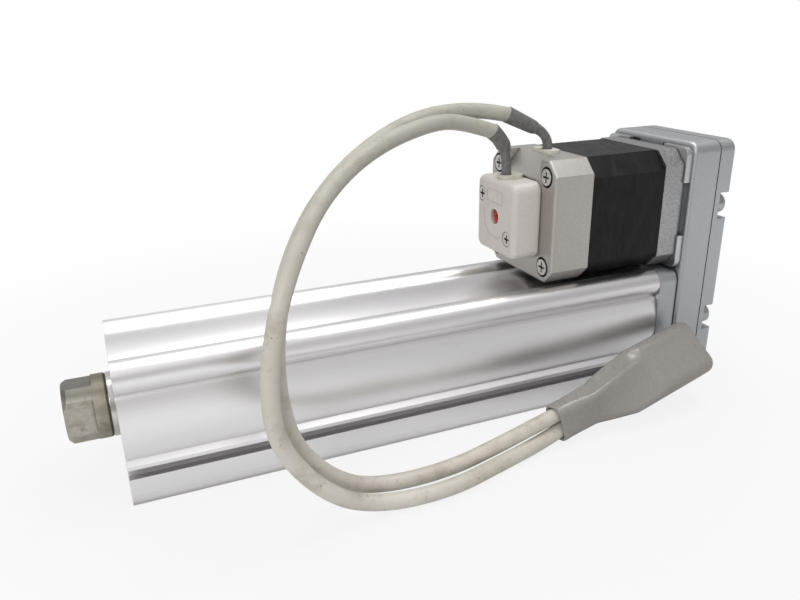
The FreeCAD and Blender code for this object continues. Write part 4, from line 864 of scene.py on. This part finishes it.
def seam(name, low, high, radius, from_x, to_x, proud, slot):
    """A thin ring round a rounded rectangle across the body's axis, in millimetres."""
    outline = rounded_outline(low.y / MM, high.y / MM, low.z / MM, high.z / MM, radius)
    rings = []
    for x, out in ((from_x, -SEAM_DEPTH), (from_x, proud), (to_x, proud), (to_x, -SEAM_DEPTH)):
        rings.append([metres((x, y + out * way[0], z + out * way[1])) for y, z, way in outline])
    count = len(outline)
    faces = joined_rings(rings, False)
    last = (len(rings) - 1) * count
    for place in range(count):
        following = (place + 1) % count
        faces.append((last + place, last + following, following, place))
    dress(add_piece(name, flat_list(rings), faces, False), slot)


plate_low, plate_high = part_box("return_plate")
plate_front = plate_low.x / MM
seam(
    "plate_seam",
    plate_low,
    plate_high,
    PLATE_CORNER,
    from_x=plate_front - 0.2,
    to_x=plate_front + 0.2,
    proud=0.03,
    slot="black_rubber",
)
cap_low, cap_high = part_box("encoder_cap")
cap_back = cap_high.x / MM
seam(
    "cap_seam",
    cap_low,
    cap_high,
    CAP_CORNER,
    from_x=cap_back - 0.25,
    to_x=cap_back + 0.05,
    proud=0.02,
    slot="guide_plastic",
)


# Painted shade: thin dark sheets in the corners of the gap between the upper pads of the motor, where it
# opens into the housing
pad_low, pad_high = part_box("motor_adapter")
GAP_HALF = 9.6 * MM
GAP_DEPTH = 2.6 * MM
GAP_CORNER = 3.4 * MM
SHADE_SHEET = 0.06 * MM


def painted_gap_shade(name, from_y, to_y):
    """A thin dark sheet on the floor and the back of the gap: painted shade."""
    front_x = pad_low.x + SHADE_SHEET
    back_x = pad_high.x
    floor_z = pad_high.z - GAP_DEPTH
    top_z = pad_high.z - 5 * SHADE_SHEET
    outline = [
        (front_x, floor_z - SHADE_SHEET),
        (front_x, floor_z + SHADE_SHEET),
        (back_x - SHADE_SHEET, floor_z + SHADE_SHEET),
        (back_x - SHADE_SHEET, top_z),
        (back_x + SHADE_SHEET, top_z),
        (back_x + SHADE_SHEET, floor_z - SHADE_SHEET),
    ]
    rings = [[Vector((x, y, z)) for x, z in outline] for y in (from_y, to_y)]
    dress(add_piece(name, flat_list(rings), joined_rings(rings, True), False), "black_rubber")


# Painted shade at both ends of the gap
painted_gap_shade("pad_gap_near_painted_shade", -GAP_HALF, GAP_CORNER - GAP_HALF)
painted_gap_shade("pad_gap_far_painted_shade", GAP_HALF - GAP_CORNER, GAP_HALF)


# Raised marks on the cap's face, in millimetres: a bare frame above the hole and an arc round its side
MARK_WIDTH = 0.5
MARK_RISE = 0.25
MARK_DEPTH = 0.1
ARC_RADIUS = 7.6
ARC_HEIGHT = 43.5
ARC_START = 15
ARC_SWEEP = 130
ARC_STEPS = 24


def ridge(name, places, closed):
    """A low ridge along places given across and up, on the cap's face."""
    face_x = cap_low.x / MM
    count = len(places)
    rings = []
    for index in range(count):
        before = places[(index - 1) % count] if closed or index > 0 else places[index]
        after = places[(index + 1) % count] if closed or index < count - 1 else places[index]
        heading = (Vector(after) - Vector(before)).normalized()
        outward = Vector((heading.y, -heading.x))
        ring = []
        for share, height in ((-0.5, -MARK_DEPTH), (-0.3, MARK_RISE), (0.3, MARK_RISE), (0.5, -MARK_DEPTH)):
            spot = Vector(places[index]) + outward * (share * MARK_WIDTH)
            ring.append(metres((face_x - height, spot.x, spot.y)))
        rings.append(ring)
    if closed:
        rings.append(rings[0])
    dress(add_piece(name, flat_list(rings), joined_rings(rings, not closed), False), "cap_plastic")


frame_outline = rounded_outline(low_a=-5.0, high_a=5.6, low_b=48.3, high_b=52.6, radius=0.5, steps=3)
ridge("cap_frame_mark", [(y, z) for y, z, outward in frame_outline], True)
arc_places = []
for step in range(ARC_STEPS + 1):
    angle = math.radians(ARC_START - ARC_SWEEP * step / ARC_STEPS)
    arc_places.append((ARC_RADIUS * math.cos(angle), ARC_HEIGHT + ARC_RADIUS * math.sin(angle)))
ridge("cap_arc_mark", arc_places, False)

# Floor just below the part
FLOOR_SIZE = 6
FLOOR_GAP = 0.0002
floor_mesh = bpy.data.meshes.new("floor")
shape = bmesh.new()
bmesh.ops.create_grid(shape, x_segments=2, y_segments=2, size=FLOOR_SIZE)
shape.to_mesh(floor_mesh)
shape.free()
floor = bpy.data.objects.new("floor", floor_mesh)
floor.location = (0, 0, cad_box[0].z - FLOOR_GAP)
bpy.context.scene.collection.objects.link(floor)


def seen_directly(tree):
    """One for what the camera sees directly, or in metal or glass."""
    path = tree.nodes.new("ShaderNodeLightPath")
    first = tree.nodes.new("ShaderNodeMath")
    first.operation = "MAXIMUM"
    second = tree.nodes.new("ShaderNodeMath")
    second.operation = "MAXIMUM"
    tree.links.new(path.outputs["Is Camera Ray"], first.inputs[0])
    tree.links.new(path.outputs["Is Glossy Ray"], first.inputs[1])
    tree.links.new(first.outputs[0], second.inputs[0])
    tree.links.new(path.outputs["Is Transmission Ray"], second.inputs[1])
    return second.outputs[0]


def times(tree, first, second):
    """The product of two values."""
    made = tree.nodes.new("ShaderNodeMath")
    made.operation = "MULTIPLY"
    tree.links.new(first, made.inputs[0])
    tree.links.new(second, made.inputs[1])
    return made.outputs[0]


# The floor is pale with the part's shadow, and whiter away from it
floor_finish, floor_tree, floor_shader = material(
    "pale_floor", colour=even(0.6), metallic=0, roughness=0.8
)
floor_glow = floor_tree.nodes.new("ShaderNodeEmission")
floor_place = floor_tree.nodes.new("ShaderNodeTexCoord")
floor_reach = floor_tree.nodes.new("ShaderNodeVectorMath")
floor_reach.operation = "DISTANCE"
floor_reach.inputs[1].default_value = (0.1, 0, 0)
floor_tree.links.new(floor_place.outputs["Object"], floor_reach.inputs[0])
floor_white = spread(
    floor_tree, floor_reach.outputs["Value"], low=0.84, high=1.0, from_low=0.1, from_high=0.3
)

# Metal reflects a darker floor beside the part, in front of its right half and far in front of it: painted
# shade on the floor, seen only in reflections
floor_parts = floor_tree.nodes.new("ShaderNodeSeparateXYZ")
floor_tree.links.new(floor_place.outputs["Object"], floor_parts.inputs[0])
floor_y = floor_parts.outputs["Y"]
floor_beside = spread(floor_tree, floor_y, low=1.0, high=0.35, from_low=-0.075, from_high=-0.02)
along_stops = [(0.04, even(1)), (0.15, even(0.06)), (0.25, even(0.06)), (0.31, even(1))]
floor_along = ramp(floor_tree, floor_parts.outputs["X"], along_stops)
floor_close = spread(floor_tree, floor_y, low=0, high=1.0, from_low=-0.045, from_high=-0.032)
floor_along = mixed(floor_tree, floor_close, floor_along, even(1.0))
floor_far = spread(floor_tree, floor_y, low=0.5, high=1.0, from_low=-0.36, from_high=-0.24)
floor_shade = times(floor_tree, times(floor_tree, floor_beside, floor_along), floor_far)
floor_path = floor_tree.nodes.new("ShaderNodeLightPath")
floor_choice = floor_tree.nodes.new("ShaderNodeMix")
floor_tree.links.new(floor_path.outputs["Is Glossy Ray"], floor_choice.inputs[0])
floor_tree.links.new(floor_white, floor_choice.inputs[2])
floor_tree.links.new(floor_shade, floor_choice.inputs[3])
floor_mix = floor_tree.nodes.new("ShaderNodeMixShader")
floor_share = times(floor_tree, seen_directly(floor_tree), floor_choice.outputs[0])
floor_tree.links.new(floor_share, floor_mix.inputs[0])
floor_tree.links.new(floor_shader.outputs[0], floor_mix.inputs[1])
floor_tree.links.new(floor_glow.outputs[0], floor_mix.inputs[2])
floor_tree.links.new(floor_mix.outputs[0], floor_tree.nodes["Material Output"].inputs["Surface"])
floor_mesh.materials.append(floor_finish)

# World: soft light, seen as white, and in metal as a room that is darker in some directions
AMBIENT = 0.5
DARK_SIDE = (-0.80, -0.55, 0.10)
world = bpy.data.worlds.new("studio")
bpy.context.scene.world = world
world.use_nodes = True
world_tree = world.node_tree
soft_light = world_tree.nodes["Background"]
soft_light.inputs["Color"].default_value = (1, 1, 1, 1)
soft_light.inputs["Strength"].default_value = AMBIENT
white_back = world_tree.nodes.new("ShaderNodeBackground")
white_back.inputs["Strength"].default_value = 1
sight = world_tree.nodes.new("ShaderNodeTexCoord")
toward_room = world_tree.nodes.new("ShaderNodeVectorMath")
toward_room.operation = "DOT_PRODUCT"
toward_room.inputs[1].default_value = Vector(DARK_SIDE).normalized()
world_tree.links.new(sight.outputs["Generated"], toward_room.inputs[0])
room_stops = [(0.35, even(1)), (0.75, (0.42, 0.40, 0.38)), (1.0, (0.2, 0.19, 0.18))]
room = ramp(world_tree, toward_room.outputs["Value"], room_stops)
reflected = world_tree.nodes.new("ShaderNodeLightPath")
direction = world_tree.nodes.new("ShaderNodeSeparateXYZ")
world_tree.links.new(sight.outputs["Generated"], direction.inputs[0])
sky_stops = [
    (0.08, (0.9, 0.895, 0.895)),
    (0.2, (0.85, 0.845, 0.845)),
    (0.36, (0.7, 0.695, 0.695)),
    (0.5, (0.8, 0.795, 0.795)),
    (0.75, even(1)),
]
room = mixed(world_tree, 1.0, room, ramp(world_tree, direction.outputs["Z"], sky_stops), "MULTIPLY")
rear_stops = [
    (0.0, even(0.9)),
    (0.18, even(1)),
    (0.36, (0.62, 0.615, 0.62)),
    (0.8, (0.5, 0.495, 0.5)),
]
room = mixed(world_tree, 1.0, room, ramp(world_tree, direction.outputs["X"], rear_stops), "MULTIPLY")
back_colour = mixed(world_tree, reflected.outputs["Is Glossy Ray"], even(1.0), room)
world_tree.links.new(back_colour, white_back.inputs["Color"])
world_mix = world_tree.nodes.new("ShaderNodeMixShader")
world_tree.links.new(seen_directly(world_tree), world_mix.inputs[0])
world_tree.links.new(soft_light.outputs[0], world_mix.inputs[1])
world_tree.links.new(white_back.outputs[0], world_mix.inputs[2])
world_tree.links.new(world_mix.outputs[0], world_tree.nodes["World Output"].inputs["Surface"])


# Lamps, in metres and watts
def lamp(name, place, target, width, height, power):
    """A soft rectangular lamp that points at a target."""
    data = bpy.data.lights.new(name, "AREA")
    data.shape = "RECTANGLE"
    data.size = width
    data.size_y = height
    data.energy = power
    made = bpy.data.objects.new(name, data)
    made.location = place
    made.rotation_euler = (Vector(target) - Vector(place)).to_track_quat("-Z", "Y").to_euler()
    bpy.context.scene.collection.objects.link(made)


lamp("overhead_lamp", place=(0.2, 0.05, 0.75), target=(0.1, 0, 0), width=0.7, height=0.35, power=1.9)
lamp(
    "small_lamp",
    place=(0.31, 0.035, 0.465),
    target=(0.16, -0.04, -0.01),
    width=0.06,
    height=0.06,
    power=0.3,
)
lamp("front_lamp", place=(-0.45, -0.55, 0.45), target=(0.1, 0, 0.02), width=0.5, height=0.4, power=2.9)

bpy.context.scene.view_settings.view_transform = "Standard"
